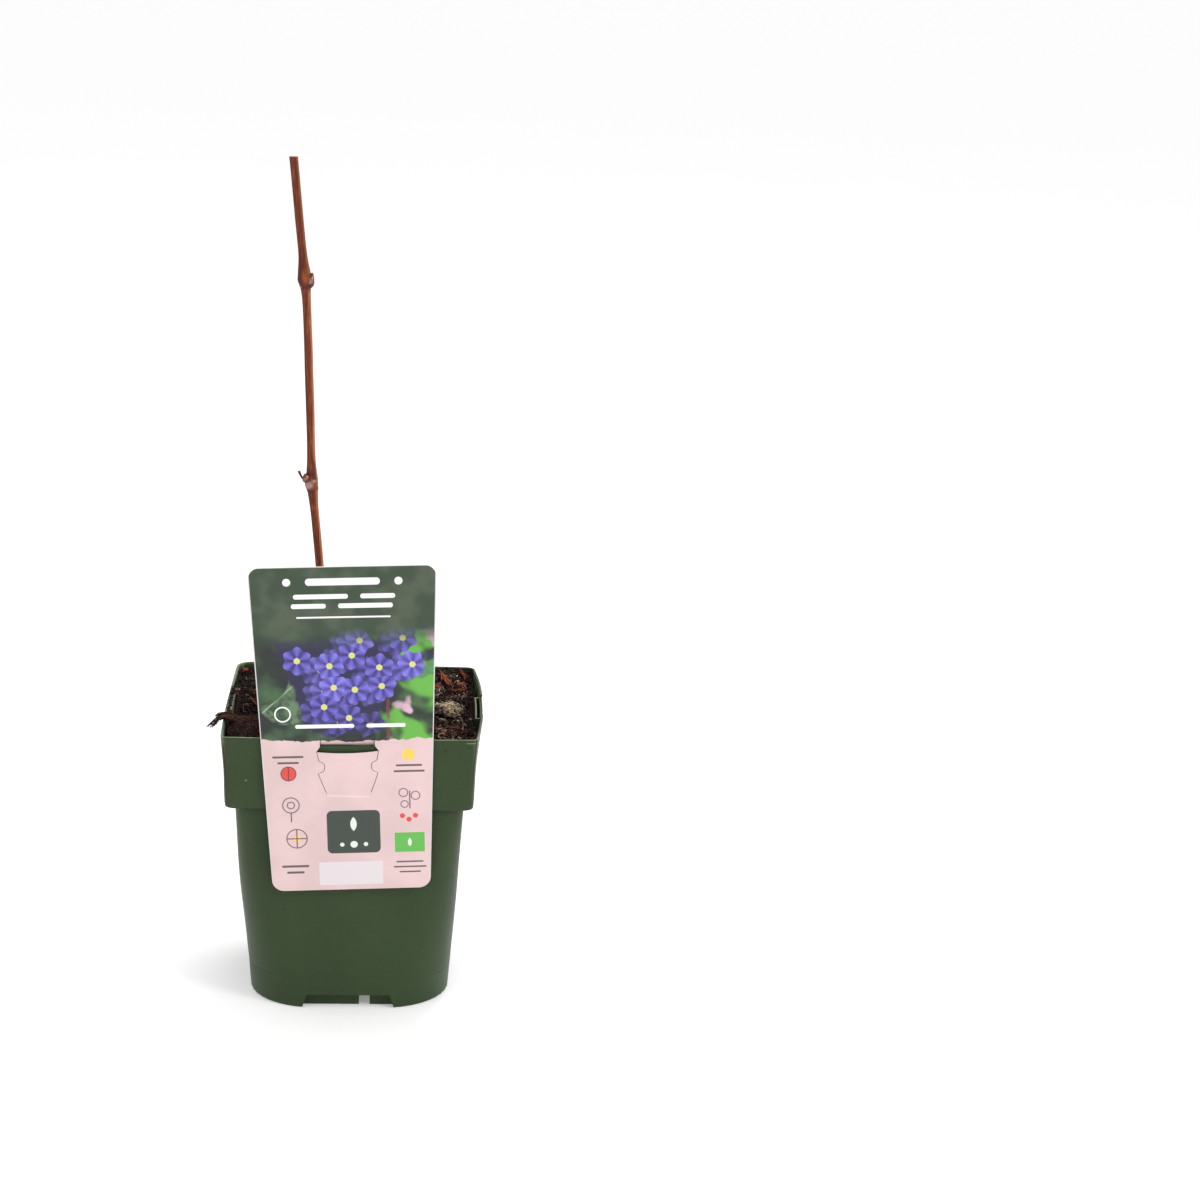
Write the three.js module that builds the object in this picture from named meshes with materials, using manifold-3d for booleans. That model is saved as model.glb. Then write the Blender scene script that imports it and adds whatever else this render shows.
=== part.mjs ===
// A dormant young grapevine in a square nursery pot: one bare cane with three nodes,
// peat with bark chips and a tuft of fibre, and a printed label hooked on the front rim.
// Millimetres, +Z up. The origin is the middle of the pot's underside, and the front faces -Y.
import * as THREE from "three";
import { mergeVertices } from "three/addons/utils/BufferGeometryUtils.js";
import Module from "manifold-3d";

const wasm = await Module();
wasm.setup();

// Driving dimensions

const GAP = 0.3;

const POT = {
  height: 124,
  rimWidth: 106,
  collarDepth: 32,
  collarBottomWidth: 101.2,
  shoulderWidth: 95.1,
  baseWidth: 85.2,
  wall: 1.1,
  floor: 1.3,
  rimCorner: 2.8,
  shoulderCorner: 5.5,
  baseCorner: 28,
  // how far the middle of each rim side bulges: right, back, left, front
  bows: [2.9, 1.3, 0.5, 0.8],
};

const POCKET = {
  length: 29,
  depth: 26,
  wall: 0.8,
  // front, right, back, left: shift along the side, slot, dip of the outer wall, drop of the inner one
  sides: [[0, 2, 3, 0], [-3, 1.4, 1.9, 1.7], [0, 2, 3, 0], [-1, 1.1, 0.6, 0.4]],
};

const FOOT = {
  notchWidth: 35,
  notchFlare: 2,
  notchHeight: 6.1,
  ringInset: 4.6,
  lining: 1.2,
  channelWidth: 4.6,
  channelHeight: 5,
  channelOffset: 6.8,
  channelEnd: 12,
  drainRadius: 3,
};

const SOIL = { level: 118.2, rise: 1.4, waves: 0.9, bank: 4.2, top: 123.1, cells: 34, seatRadius: 5 };

const CANE = {
  // x, y, z and radius at the foot, the three nodes, the bends between them and the cut tip
  stations: [
    [-8.4, -3.0, SOIL.level + GAP, 1.9],
    [-10.2, -3.6, 134.5, 1.8],
    [-16.3, -5.0, 204.5, 1.73],
    [-18.05, -5.35, 221.5, 1.74],
    [-18.6, -5.0, 242.9, 1.7],
    [-20.05, -4.4, 284.7, 1.78],
    [-21.25, -4.2, 306.5, 1.78],
    [-26.12, -3.0, 355.4, 1.77],
  ],
  // height of each node, its swelling, and how far that reaches above and below
  nodes: [
    [134.5, 0.85, 3.6, 5.5],
    [221.5, 0.62, 6.0, 8.2],
    [306.5, 1.1, 5.0, 4.6],
  ],
  kinkLength: 7,
  flare: 1.5,
  flareHeight: 5,
  rows: 84,
  sides: 12,
};

const BUDS = {
  base_bud: { at: [-7.9, -3.1, 136.6], size: [1.5, 1.5, 2.6], lean: 0.22 },
  lower_bud: { at: [-20.2, -7.6, 223.0], size: [1.8, 1.7, 1.95], lean: -0.18 },
  upper_bud: { at: [-18.7, -5.4, 305.4], size: [1.5, 1.6, 3.2], lean: 0.12 },
};

const STUB = {
  from: [-20.85, -4.9, 221.5],
  to: [-23.3, -6.6, 225.5],
  radius: 0.42,
  tipRadius: 0.75,
};

const LABEL = {
  top: 76.8,
  bottom: 64.6,
  halfWidthTop: 37.9,
  halfWidthBottom: 33.0,
  corner: 7,
  thickness: 0.5,
  hookX: -0.9,
  hookY: -54.5,
  hookZ: 121.5,
  tilt: THREE.MathUtils.degToRad(2.05),
  leanLow: 0.073,
  leanHigh: 0.045,
  shoulderHalf: 12.9,
  shoulderDrop: 2.7,
  windowHalf: 11.2,
  windowTop: 3.3,
  flapHalf: 10.8,
  flapBack: 3.0,
  flapBend: 0.5,
};

const CHIPS = [
  // x, y, length, width, thickness, turn in degrees
  [-48.8, 41.2, 7.6, 2.4, 1.4, 78],
  [-45.0, 46.4, 7.0, 2.4, 1.4, 84],
  [-42.2, 1.0, 6.4, 2.4, 1.2, -60],
  [44.8, 28.2, 8.0, 2.6, 1.3, -8],
  [39.6, 35.6, 8.4, 2.6, 1.4, -60],
  [47.0, 37.4, 7.6, 2.4, 1.4, 44],
  [35.8, 32.6, 4.2, 2.0, 1.2, -16],
  [47.8, 46.2, 6.6, 2.0, 1.2, -68],
  [37.6, -28.6, 9.0, 2.4, 1.2, -50],
  [43.4, -21.0, 6.0, 2.4, 1.2, -26],
  [47.2, -26.6, 6.6, 2.4, 1.2, 12],
  [-24.0, 34.0, 10.5, 4.0, 1.5, -35],
  [16.0, 30.0, 11.0, 4.2, 1.6, 12],
  [19.0, -15.0, 9.5, 3.8, 1.4, 50],
];

const CLUMP = { at: [41.2, 1.0], size: [6.2, 10.4, 2.9], bumps: 0.13 };

const TUFT = {
  centre: [-44.4, -34.6, 120.2],
  size: [6.7, 15.8, 3.4],
  // the crest over the rim and the tip of each strand: y at the crest, then the tip
  strands: [
    [-27.0, [-60.2, -35.5, 122.4]],
    [-28.4, [-59.6, -32.0, 121.4]],
    [-30.2, [-58.3, -38.6, 120.6]],
    [-24.6, [-58.0, -27.6, 124.2]],
    [-32.4, [-57.2, -35.0, 119.6]],
  ],
  crestLift: 1.35,
  radius: 0.75,
  tipRadius: 0.25,
};

// Colours of the finishes, as linear light

const FINISH = {
  pot: { color: new THREE.Color(0.052, 0.087, 0.044), roughness: 0.42, metalness: 0 },
  soil: { color: new THREE.Color(0.026, 0.018, 0.014), roughness: 0.95, metalness: 0 },
  cane: { color: new THREE.Color(0.19, 0.062, 0.03), roughness: 0.55, metalness: 0 },
  bud: { color: new THREE.Color(0.14, 0.05, 0.04), roughness: 0.45, metalness: 0 },
  label: { color: new THREE.Color(0.72, 0.52, 0.5), roughness: 0.35, metalness: 0 },
  chip: { color: new THREE.Color(0.26, 0.085, 0.035), roughness: 0.8, metalness: 0 },
  clump: { color: new THREE.Color(0.36, 0.27, 0.17), roughness: 0.9, metalness: 0 },
  fibre: { color: new THREE.Color(0.07, 0.036, 0.024), roughness: 0.9, metalness: 0 },
};

// Helpers

const { lerp, clamp, smoothstep } = THREE.MathUtils;

function toSolid(geometry) {
  const bare = geometry.clone();
  bare.deleteAttribute("normal");
  bare.deleteAttribute("uv");
  const merged = mergeVertices(bare, 1e-4);
  return new wasm.Manifold(new wasm.Mesh({
    numProp: 3,
    vertProperties: new Float32Array(merged.attributes.position.array),
    triVerts: new Uint32Array(merged.index.array),
  }));
}

function toGeometry(solid) {
  const mesh = solid.getMesh();
  const geometry = new THREE.BufferGeometry();
  geometry.setAttribute("position", new THREE.BufferAttribute(mesh.vertProperties, 3));
  geometry.setIndex(new THREE.BufferAttribute(mesh.triVerts, 1));
  geometry.computeVertexNormals();
  return geometry;
}

function box(low, high) {
  const size = high.map((value, axis) => value - low[axis]);
  const geometry = new THREE.BoxGeometry(...size);
  geometry.translate(...low.map((value, axis) => value + size[axis] / 2));
  return geometry;
}

// A closed skin: a cylinder whose edge points go to place(side, row), with its two ends flat fans.
function skin(sides, rows, place) {
  const geometry = new THREE.CylinderGeometry(1, 1, rows, sides, rows);
  geometry.rotateX(Math.PI / 2);
  const at = geometry.attributes.position;
  const ends = [0, rows].map((row) => {
    const middle = new THREE.Vector3();
    for (let side = 0; side < sides; side++) middle.addScaledVector(place(side, row), 1 / sides);
    return middle;
  });
  for (let i = 0; i < at.count; i++) {
    const row = Math.round(at.getZ(i) + rows / 2);
    const turn = Math.atan2(at.getX(i), -at.getY(i)) / (2 * Math.PI);
    const onEdge = Math.hypot(at.getX(i), at.getY(i)) > 0.5;
    const side = (Math.round(turn * sides) + sides) % sides;
    const point = onEdge ? place(side, row) : ends[row === 0 ? 0 : 1];
    at.setXYZ(i, point.x, point.y, point.z);
  }
  return geometry;
}

// A tapering round limb along a curve, with its radius given as a function of the way along.
function limb(curve, radiusAt, sides, rows) {
  const frames = curve.computeFrenetFrames(rows, false);
  return skin(sides, rows, (side, row) => {
    const angle = (2 * Math.PI * side) / sides;
    const radius = radiusAt(row / rows);
    return curve.getPointAt(row / rows)
      .addScaledVector(frames.normals[row], radius * Math.cos(angle))
      .addScaledVector(frames.binormals[row], radius * Math.sin(angle));
  });
}

const vector = (values) => new THREE.Vector3(...values);

// Pot

const CORNER_STEPS = 6;
const SIDE_STEPS = 8;
const RING = 4 * (CORNER_STEPS + SIDE_STEPS);

// The n-th of RING points round a square with rounded corners, its sides bowed outward.
function squarePoint(n, halfWidth, corner, bowShare, z) {
  const quarter = Math.floor(n / (CORNER_STEPS + SIDE_STEPS));
  const step = n % (CORNER_STEPS + SIDE_STEPS);
  const straight = halfWidth - corner;
  const turn = (Math.PI / 2) * Math.min(step / CORNER_STEPS, 1);
  const along = Math.max(step - CORNER_STEPS, 0) / SIDE_STEPS;
  const way = lerp(1, -1, along);
  const bow = POT.bows[(quarter + 1) % 4] * bowShare * (1 - way * way);
  const x = straight * way + corner * Math.cos(turn) * (along > 0 ? 0 : 1);
  const y = straight + corner * Math.sin(turn) + bow;
  return new THREE.Vector3(x, y, z).applyAxisAngle(new THREE.Vector3(0, 0, 1), quarter * Math.PI / 2);
}

const SHOULDER_Z = POT.height - POT.collarDepth;

const bodyHalf = (z) => lerp(POT.baseWidth, POT.shoulderWidth, z / SHOULDER_Z) / 2;
const bodyCorner = (z) => lerp(POT.baseCorner, POT.shoulderCorner, z / SHOULDER_Z);
const collarShare = (z) => (z - SHOULDER_Z) / POT.collarDepth;
const collarHalf = (z) => lerp(POT.collarBottomWidth, POT.rimWidth, collarShare(z)) / 2;

// The pot's outer form moved inward by inset, from a floor level up to a top level.
function potForm(inset, floorZ, topZ) {
  const stepZ = SHOULDER_Z + inset;
  const rows = [
    [floorZ, bodyHalf(floorZ), bodyCorner(floorZ), 0],
    [lerp(floorZ, stepZ, 0.33), bodyHalf(stepZ * 0.33), bodyCorner(stepZ * 0.33), 0],
    [lerp(floorZ, stepZ, 0.66), bodyHalf(stepZ * 0.66), bodyCorner(stepZ * 0.66), 0],
    [stepZ, bodyHalf(SHOULDER_Z), bodyCorner(SHOULDER_Z), 0],
    [stepZ, collarHalf(stepZ), POT.rimCorner, Math.max(collarShare(stepZ), 0)],
    [topZ, collarHalf(topZ), POT.rimCorner, collarShare(topZ)],
  ];
  return toSolid(skin(RING, rows.length - 1, (side, row) => {
    const [z, half, corner, bowShare] = rows[row];
    return squarePoint(side, half - inset, Math.max(corner - inset, 0.6), bowShare, z);
  }));
}

// A trapezoid in the front's plane, pushed back from startY to endY.
function notchPrism(grow, startY, endY) {
  const top = FOOT.notchWidth / 2 + grow;
  const foot = top + FOOT.notchFlare;
  const height = FOOT.notchHeight + grow;
  const shape = new THREE.Shape();
  shape.moveTo(-foot, -1).lineTo(foot, -1).lineTo(foot, 0).lineTo(top, height);
  shape.lineTo(-top, height).lineTo(-foot, 0).closePath();
  const geometry = new THREE.ExtrudeGeometry(shape, { depth: endY - startY, bevelEnabled: false });
  geometry.rotateX(Math.PI / 2);
  return toSolid(geometry.translate(0, endY, 0));
}

function channelBox(grow, endGrow) {
  const half = FOOT.channelWidth / 2 + grow;
  const mid = FOOT.channelOffset;
  const front = -(POT.baseWidth / 2 - FOOT.ringInset) - 0.5;
  return toSolid(box(
    [mid - half, front, -1],
    [mid + half, -FOOT.channelEnd + endGrow, FOOT.channelHeight + grow],
  ));
}

function quarterTurns(make) {
  return [0, 1, 2, 3].map((side) => make(side).rotate([0, 0, 90 * side]));
}

// The raised lining over each foot notch and drain channel, grown by a clearance.
function footLinings(clearance) {
  const ringY = -(POT.baseWidth / 2 - FOOT.ringInset);
  const grow = FOOT.lining + clearance;
  return quarterTurns(() => notchPrism(grow, -POT.baseWidth / 2 - 1, ringY + grow)
    .add(channelBox(grow, grow)));
}

// Everything within the pocket's length on all four sides, grown by a clearance.
function pocketZones(clearance) {
  const half = POCKET.length / 2 + POCKET.wall + clearance;
  const low = POT.height - POCKET.depth - POCKET.wall - clearance;
  return quarterTurns((side) => {
    const [shift, , , drop] = POCKET.sides[side];
    return toSolid(box([shift - half, -70, low], [shift + half, -30, POT.height - drop]));
  });
}

function makePot() {
  const outer = potForm(0, 0, POT.height);
  const cavity = potForm(POT.wall, POT.floor, POT.height + 2);
  const wallBack = (inset) => potForm(POT.wall + inset, POT.floor, POT.height + 2);
  let pot = outer.subtract(cavity);

  const slotBox = (side, low) => {
    const [shift] = POCKET.sides[side];
    return toSolid(box(
      [shift - POCKET.length / 2, -70, low],
      [shift + POCKET.length / 2, -30, POT.height + 1],
    ));
  };
  const deep = quarterTurns((side) => slotBox(side, POT.height - POCKET.depth));
  const dips = quarterTurns((side) => slotBox(side, POT.height - POCKET.sides[side][2]));
  pocketZones(0).forEach((zone, side) => {
    const slot = POCKET.sides[side][1];
    pot = pot.add(outer.subtract(wallBack(slot + POCKET.wall)).intersect(zone));
    pot = pot.subtract(deep[side].intersect(cavity).add(dips[side]).subtract(wallBack(slot)));
  });

  for (const lining of footLinings(0)) pot = pot.add(lining.intersect(outer));
  const ringY = -(POT.baseWidth / 2 - FOOT.ringInset);
  const drain = new THREE.CylinderGeometry(FOOT.drainRadius, FOOT.drainRadius, 10, 16);
  drain.rotateX(Math.PI / 2);
  for (const cut of quarterTurns(() => notchPrism(0, -POT.baseWidth / 2 - 4, ringY)
    .add(channelBox(0, 0))
    .add(toSolid(drain).translate([
      FOOT.channelOffset, -FOOT.channelEnd - FOOT.drainRadius, FOOT.channelHeight,
    ])))) pot = pot.subtract(cut);
  return toGeometry(pot);
}

// Soil

// How much more the peat is heaped against the back wall, save its right corner, and the left wall.
function soilBank(x, y) {
  const back = smoothstep(y, 26, 46) * (1 - 0.75 * smoothstep(x, 38, 49));
  const left = smoothstep(-x, 34, 46) * smoothstep(y, -14, 4);
  return SOIL.bank * Math.max(back, left);
}

// Height of the peat: level round the cane, rising to the back, with shallow waves.
function soilHeight(x, y) {
  const foot = CANE.stations[0];
  const away = clamp((Math.hypot(x - foot[0], y - foot[1]) - SOIL.seatRadius) / 12, 0, 1);
  const waves = Math.sin(0.21 * x + 0.6) * Math.cos(0.17 * y - 0.4)
    + 0.6 * Math.sin(0.37 * y + 0.29 * x + 1.1);
  const height = SOIL.level + away * (SOIL.rise * (y / 50) + SOIL.waves * waves) + soilBank(x, y);
  return Math.min(height, SOIL.top);
}

function makeSoil() {
  const reach = POT.rimWidth / 2 + 4;
  const bottom = POT.floor + GAP;
  const ground = new THREE.BoxGeometry(2 * reach, 2 * reach, 2, SOIL.cells, SOIL.cells, 1);
  const at = ground.attributes.position;
  for (let i = 0; i < at.count; i++) {
    const [x, y] = [at.getX(i), at.getY(i)];
    at.setZ(i, at.getZ(i) > 0 ? soilHeight(x, y) : bottom - 1);
  }
  let soil = potForm(POT.wall + GAP, bottom, POT.height + 2).intersect(toSolid(ground));
  pocketZones(GAP).forEach((zone, side) => {
    const pocketWall = POT.wall + POCKET.sides[side][1] + POCKET.wall + GAP;
    soil = soil.subtract(zone.subtract(potForm(pocketWall, bottom - 1, POT.height + 4)));
  });
  for (const lining of footLinings(GAP)) soil = soil.subtract(lining);
  return toGeometry(soil);
}

// Cane

// The stations below and above a height, and how far the height lies between them.
function caneSpan(z) {
  const stations = CANE.stations;
  const h = clamp(z, stations[0][2], stations.at(-1)[2]);
  const i = clamp(stations.findLastIndex((station) => station[2] <= h), 0, stations.length - 2);
  return [stations[i], stations[i + 1], (h - stations[i][2]) / (stations[i + 1][2] - stations[i][2])];
}

// Middle of the cane at a height: straight lines between the stations, eased where they meet.
function caneMiddle(z) {
  const spread = [-1, -0.5, 0, 0.5, 1].map((k) => {
    const [low, high, t] = caneSpan(z + k * CANE.kinkLength);
    return [lerp(low[0], high[0], t), lerp(low[1], high[1], t)];
  });
  const mean = (axis) => spread.reduce((sum, p) => sum + p[axis], 0) / spread.length;
  return new THREE.Vector3(mean(0), mean(1), z);
}

// Radius of the cane at a height: the stations' radii, a swelling at each node, a flared foot.
function caneRadius(z) {
  const [low, high, t] = caneSpan(z);
  let radius = lerp(low[3], high[3], t);
  for (const [height, swell, above, below] of CANE.nodes) {
    const off = z - height;
    radius += swell * Math.exp(-((off / (off > 0 ? above : below)) ** 2));
  }
  return radius + CANE.flare * Math.exp(-(z - CANE.stations[0][2]) / CANE.flareHeight);
}

function caneSkin(grow) {
  const [foot, tip] = [CANE.stations[0][2], CANE.stations.at(-1)[2]];
  return skin(CANE.sides, CANE.rows, (side, row) => {
    const z = lerp(foot, tip, row / CANE.rows);
    const angle = (2 * Math.PI * side) / CANE.sides;
    const radius = caneRadius(z) + grow;
    return caneMiddle(z).add(new THREE.Vector3(radius * Math.cos(angle), radius * Math.sin(angle), 0));
  });
}

// A bud is a plump drop, pointed at the top and trimmed clear of the cane.
function makeBud({ at, size, lean }) {
  const drop = new THREE.SphereGeometry(1, 14, 10);
  drop.rotateX(Math.PI / 2);
  const point = drop.attributes.position;
  for (let i = 0; i < point.count; i++) {
    const z = point.getZ(i);
    const slim = z > 0 ? 1 - 0.35 * z * z : 1;
    point.setXYZ(i, point.getX(i) * slim, point.getY(i) * slim, z);
  }
  drop.scale(...size).rotateY(lean).translate(...at);
  return toGeometry(toSolid(drop).subtract(toSolid(caneSkin(GAP))));
}

function makeStub() {
  const [from, to] = [vector(STUB.from), vector(STUB.to)];
  const bend = from.clone().lerp(to, 0.5).add(new THREE.Vector3(-0.35, 0, -0.25));
  const curve = new THREE.CatmullRomCurve3([from, bend, to]);
  return limb(curve, (t) => lerp(STUB.radius, STUB.tipRadius, t ** 4), 7, 8);
}

// Label

// How far the label leans off its hook at a distance along it, positive towards the pot.
const labelLean = (along) => (along < 0 ? -along * LABEL.leanLow : -along * LABEL.leanHigh);

// A bent strip, given by points [y, along] of its middle line, as wide as two half widths.
function strip(points, halfWidth) {
  const line = points.map(([y, along]) => new THREE.Vector2(y, along));
  const side = (sign) => line.map((p, i) => {
    const next = line[Math.min(i + 1, line.length - 1)];
    const last = line[Math.max(i - 1, 0)];
    const normal = new THREE.Vector2(last.y - next.y, next.x - last.x).normalize();
    return p.clone().addScaledVector(normal, sign * LABEL.thickness / 2);
  });
  const shape = new THREE.Shape([...side(1), ...side(-1).reverse()]);
  const geometry = new THREE.ExtrudeGeometry(shape, { depth: 2 * halfWidth, bevelEnabled: false });
  geometry.applyMatrix4(new THREE.Matrix4().makeBasis(
    new THREE.Vector3(0, 1, 0), new THREE.Vector3(0, 0, 1), new THREE.Vector3(1, 0, 0),
  ));
  return toSolid(geometry.translate(-halfWidth, 0, 0));
}

// A flat outline in the label's own plane, pushed through it from front to back.
function labelPrism(shape) {
  const geometry = new THREE.ExtrudeGeometry(shape, { depth: 30, bevelEnabled: false, curveSegments: 8 });
  geometry.rotateX(Math.PI / 2);
  return toSolid(geometry.translate(0, LABEL.hookY + 15, 0));
}

function labelOutline() {
  const { top, bottom, halfWidthTop: wide, halfWidthBottom: slim, corner: r } = LABEL;
  const shape = new THREE.Shape();
  shape.moveTo(-slim + r, -bottom).lineTo(slim - r, -bottom);
  shape.quadraticCurveTo(slim, -bottom, slim + 0.2, -bottom + r).lineTo(wide - 0.2, top - r);
  shape.quadraticCurveTo(wide, top, wide - r, top).lineTo(-wide + r, top);
  shape.quadraticCurveTo(-wide, top, -wide + 0.2, top - r).lineTo(-slim - 0.2, -bottom + r);
  shape.quadraticCurveTo(-slim, -bottom, -slim + r, -bottom);
  return shape;
}

function labelWindow() {
  const { shoulderHalf, shoulderDrop, windowHalf, windowTop } = LABEL;
  const shape = new THREE.Shape();
  shape.moveTo(-shoulderHalf, -shoulderDrop);
  shape.quadraticCurveTo(0, -shoulderDrop - 1.6, shoulderHalf, -shoulderDrop);
  shape.lineTo(windowHalf, windowTop).lineTo(-windowHalf, windowTop).closePath();
  return shape;
}

function makeLabel() {
  const plate = [-LABEL.bottom - 2, -20, -6, 6, 30, LABEL.top + 2]
    .map((along) => [LABEL.hookY + labelLean(along), along]);
  const front = LABEL.hookY + labelLean(LABEL.windowTop + 0.4);
  const back = LABEL.hookY + LABEL.flapBack;
  const flap = [
    [front, LABEL.windowTop + 0.5],
    [back, LABEL.flapBend],
    [back, -LABEL.shoulderDrop],
  ];
  return toGeometry(strip(plate, LABEL.halfWidthTop + 4)
    .intersect(labelPrism(labelOutline()))
    .subtract(labelPrism(labelWindow()))
    .add(strip(flap, LABEL.flapHalf)));
}

// Loose pieces on the soil

const CLEAR = GAP + 0.25;

// Lifts a piece until its lowest gap above the peat, at each facet's corners and middle, is CLEAR.
function seatOnSoil(geometry) {
  const at = geometry.attributes.position;
  let lowest = Infinity;
  for (let i = 0; i < at.count; i += 3) {
    const corners = [0, 1, 2].map((k) => new THREE.Vector3().fromBufferAttribute(at, i + k));
    const middle = corners[0].clone().add(corners[1]).add(corners[2]).divideScalar(3);
    for (const { x, y, z } of [...corners, middle]) lowest = Math.min(lowest, z - soilHeight(x, y));
  }
  return geometry.translate(0, 0, CLEAR - lowest);
}

// A lump with a flat foot: a ball scaled to size, with each point under the peat raised clear of it.
function lump(centre, size, swellAt) {
  const ball = new THREE.SphereGeometry(1, 20, 14);
  ball.rotateX(Math.PI / 2);
  const at = ball.attributes.position;
  for (let i = 0; i < at.count; i++) {
    const swell = swellAt(at.getX(i), at.getY(i), at.getZ(i));
    const x = centre[0] + at.getX(i) * size[0] * swell;
    const y = centre[1] + at.getY(i) * size[1] * swell;
    const z = centre[2] + at.getZ(i) * size[2] * swell;
    const foot = soilHeight(x, y) + CLEAR + 0.05 * (1 + at.getZ(i));
    at.setXYZ(i, x, y, Math.max(z, foot));
  }
  return ball;
}

// A flake of bark: a flat splinter with ragged ends, a little arched, tilted as the peat lies.
function makeChip([x, y, length, width, thickness, turn]) {
  const [l, w] = [length / 2, width / 2];
  const shape = new THREE.Shape();
  shape.moveTo(-l, -0.3 * w).lineTo(-0.7 * l, -w).lineTo(0.1 * l, -0.85 * w).lineTo(0.8 * l, -0.9 * w);
  shape.lineTo(l, 0.1 * w).lineTo(0.6 * l, 0.75 * w).lineTo(-0.1 * l, w).lineTo(-0.8 * l, 0.6 * w);
  shape.closePath();
  const flake = new THREE.ExtrudeGeometry(shape, { depth: thickness, bevelEnabled: false });
  const step = 3;
  const slopeX = (soilHeight(x + step, y) - soilHeight(x - step, y)) / (2 * step);
  const slopeY = (soilHeight(x, y + step) - soilHeight(x, y - step)) / (2 * step);
  flake.rotateZ(THREE.MathUtils.degToRad(turn)).rotateX(Math.atan(slopeY)).rotateY(-Math.atan(slopeX));
  return seatOnSoil(flake.translate(x, y, 0));
}

function makeClump() {
  const centre = [...CLUMP.at, soilHeight(...CLUMP.at) + CLEAR + 0.2];
  return lump(centre, CLUMP.size, (x, y, z) => 1
    + CLUMP.bumps * (Math.sin(5 * x + 3 * y) + Math.cos(6 * y - 4 * z + 2 * x)) / 2);
}

// Brown fibre: a flat mat in the front left corner, with strands that trail over the rim.
function makeTuft() {
  let tuft = toSolid(lump(TUFT.centre, TUFT.size, () => 1));
  const crestX = -(POT.rimWidth / 2 + POT.bows[2] / 2);
  for (const [crestY, tip] of TUFT.strands) {
    const root = vector(TUFT.centre).add(new THREE.Vector3(0, (crestY - TUFT.centre[1]) * 0.7, 0.6));
    const crest = new THREE.Vector3(crestX, crestY, POT.height + TUFT.crestLift);
    const inside = crest.clone().add(new THREE.Vector3(3.6, -1.2, -0.3));
    const curve = new THREE.CatmullRomCurve3([root, inside, crest, vector(tip)]);
    const strand = limb(curve, (t) => lerp(TUFT.radius, TUFT.tipRadius, t), 6, 12);
    tuft = tuft.add(toSolid(strand));
  }
  return toGeometry(tuft);
}

// The plant in its pot

const plant = new THREE.Group();

function add(name, geometry, finish) {
  const piece = new THREE.Mesh(geometry, new THREE.MeshStandardMaterial(finish));
  piece.name = name;
  plant.add(piece);
  return piece;
}

add("pot", makePot(), FINISH.pot);
add("soil", makeSoil(), FINISH.soil);
add("cane", caneSkin(0), FINISH.cane);
for (const [name, bud] of Object.entries(BUDS)) add(name, makeBud(bud), FINISH.bud);
add("tendril_stub", makeStub(), FINISH.bud);

const label = add("hang_label", makeLabel(), FINISH.label);
label.position.set(LABEL.hookX, 0, LABEL.hookZ);
label.rotation.y = -LABEL.tilt;

CHIPS.forEach((chip, index) => add(`bark_chip_${index + 1}`, makeChip(chip), FINISH.chip));
add("peat_clump", makeClump(), FINISH.clump);
add("fibre_tuft", makeTuft(), FINISH.fibre);

export default plant;
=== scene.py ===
"""A dormant young grapevine in a square nursery pot, with a printed card hooked on its rim.

Code lengths are millimetres and mesh lengths are metres. The origin is the middle of the pot's
underside, the front faces -Y and +Z is up.
"""
import math
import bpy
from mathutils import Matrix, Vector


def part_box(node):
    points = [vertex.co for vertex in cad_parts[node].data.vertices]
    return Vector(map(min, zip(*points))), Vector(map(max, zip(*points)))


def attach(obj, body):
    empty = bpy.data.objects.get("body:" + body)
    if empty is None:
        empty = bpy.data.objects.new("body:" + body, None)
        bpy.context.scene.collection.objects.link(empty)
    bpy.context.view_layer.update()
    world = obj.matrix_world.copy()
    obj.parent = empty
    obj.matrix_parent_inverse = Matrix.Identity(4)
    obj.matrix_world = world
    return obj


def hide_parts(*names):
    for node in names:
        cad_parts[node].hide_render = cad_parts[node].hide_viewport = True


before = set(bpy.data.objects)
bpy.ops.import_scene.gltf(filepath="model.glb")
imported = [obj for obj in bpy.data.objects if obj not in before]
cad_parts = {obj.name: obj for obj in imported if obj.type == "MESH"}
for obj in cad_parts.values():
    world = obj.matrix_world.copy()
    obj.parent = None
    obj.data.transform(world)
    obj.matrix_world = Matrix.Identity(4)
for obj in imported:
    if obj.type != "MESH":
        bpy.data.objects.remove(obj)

from types import SimpleNamespace

import bmesh
import bpy
import numpy as np
from bpy.props import FloatProperty, FloatVectorProperty, IntProperty, PointerProperty
from bpy.types import Operator, Panel, PropertyGroup
from mathutils import Matrix

bl_info = {
    "name": "Potted grapevine",
    "version": (1, 0, 0),
    "blender": (4, 5, 0),
    "location": "3D View > Sidebar > Grapevine",
    "description": "Builds a dormant grapevine cane in its pot, with peat, bark, fibre and a card",
    "category": "Add Mesh",
}

MM = 0.001


# Sizes and colours

def rgb(red, green, blue):
    """Linear colour, with its alpha, of three display values from 0 to 255."""
    level = [v / 255 for v in (red, green, blue)]
    return tuple(((v + 0.055) / 1.055) ** 2.4 if v > 0.0404 else v / 12.92 for v in level) + (1.0,)


def length(name, description, millimetres):
    return FloatProperty(
        name=name, description=description, default=millimetres * MM, unit="LENGTH", precision=5)


def colour(name, description, *display):
    return FloatVectorProperty(
        name=name, description=description, default=rgb(*display), subtype="COLOR", size=4,
        min=0.0, max=1.0)


def in_mm(group):
    """The lengths of a property group, in millimetres."""
    return SimpleNamespace(**{key: getattr(group, key) / MM for key in type(group).__annotations__})


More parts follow.
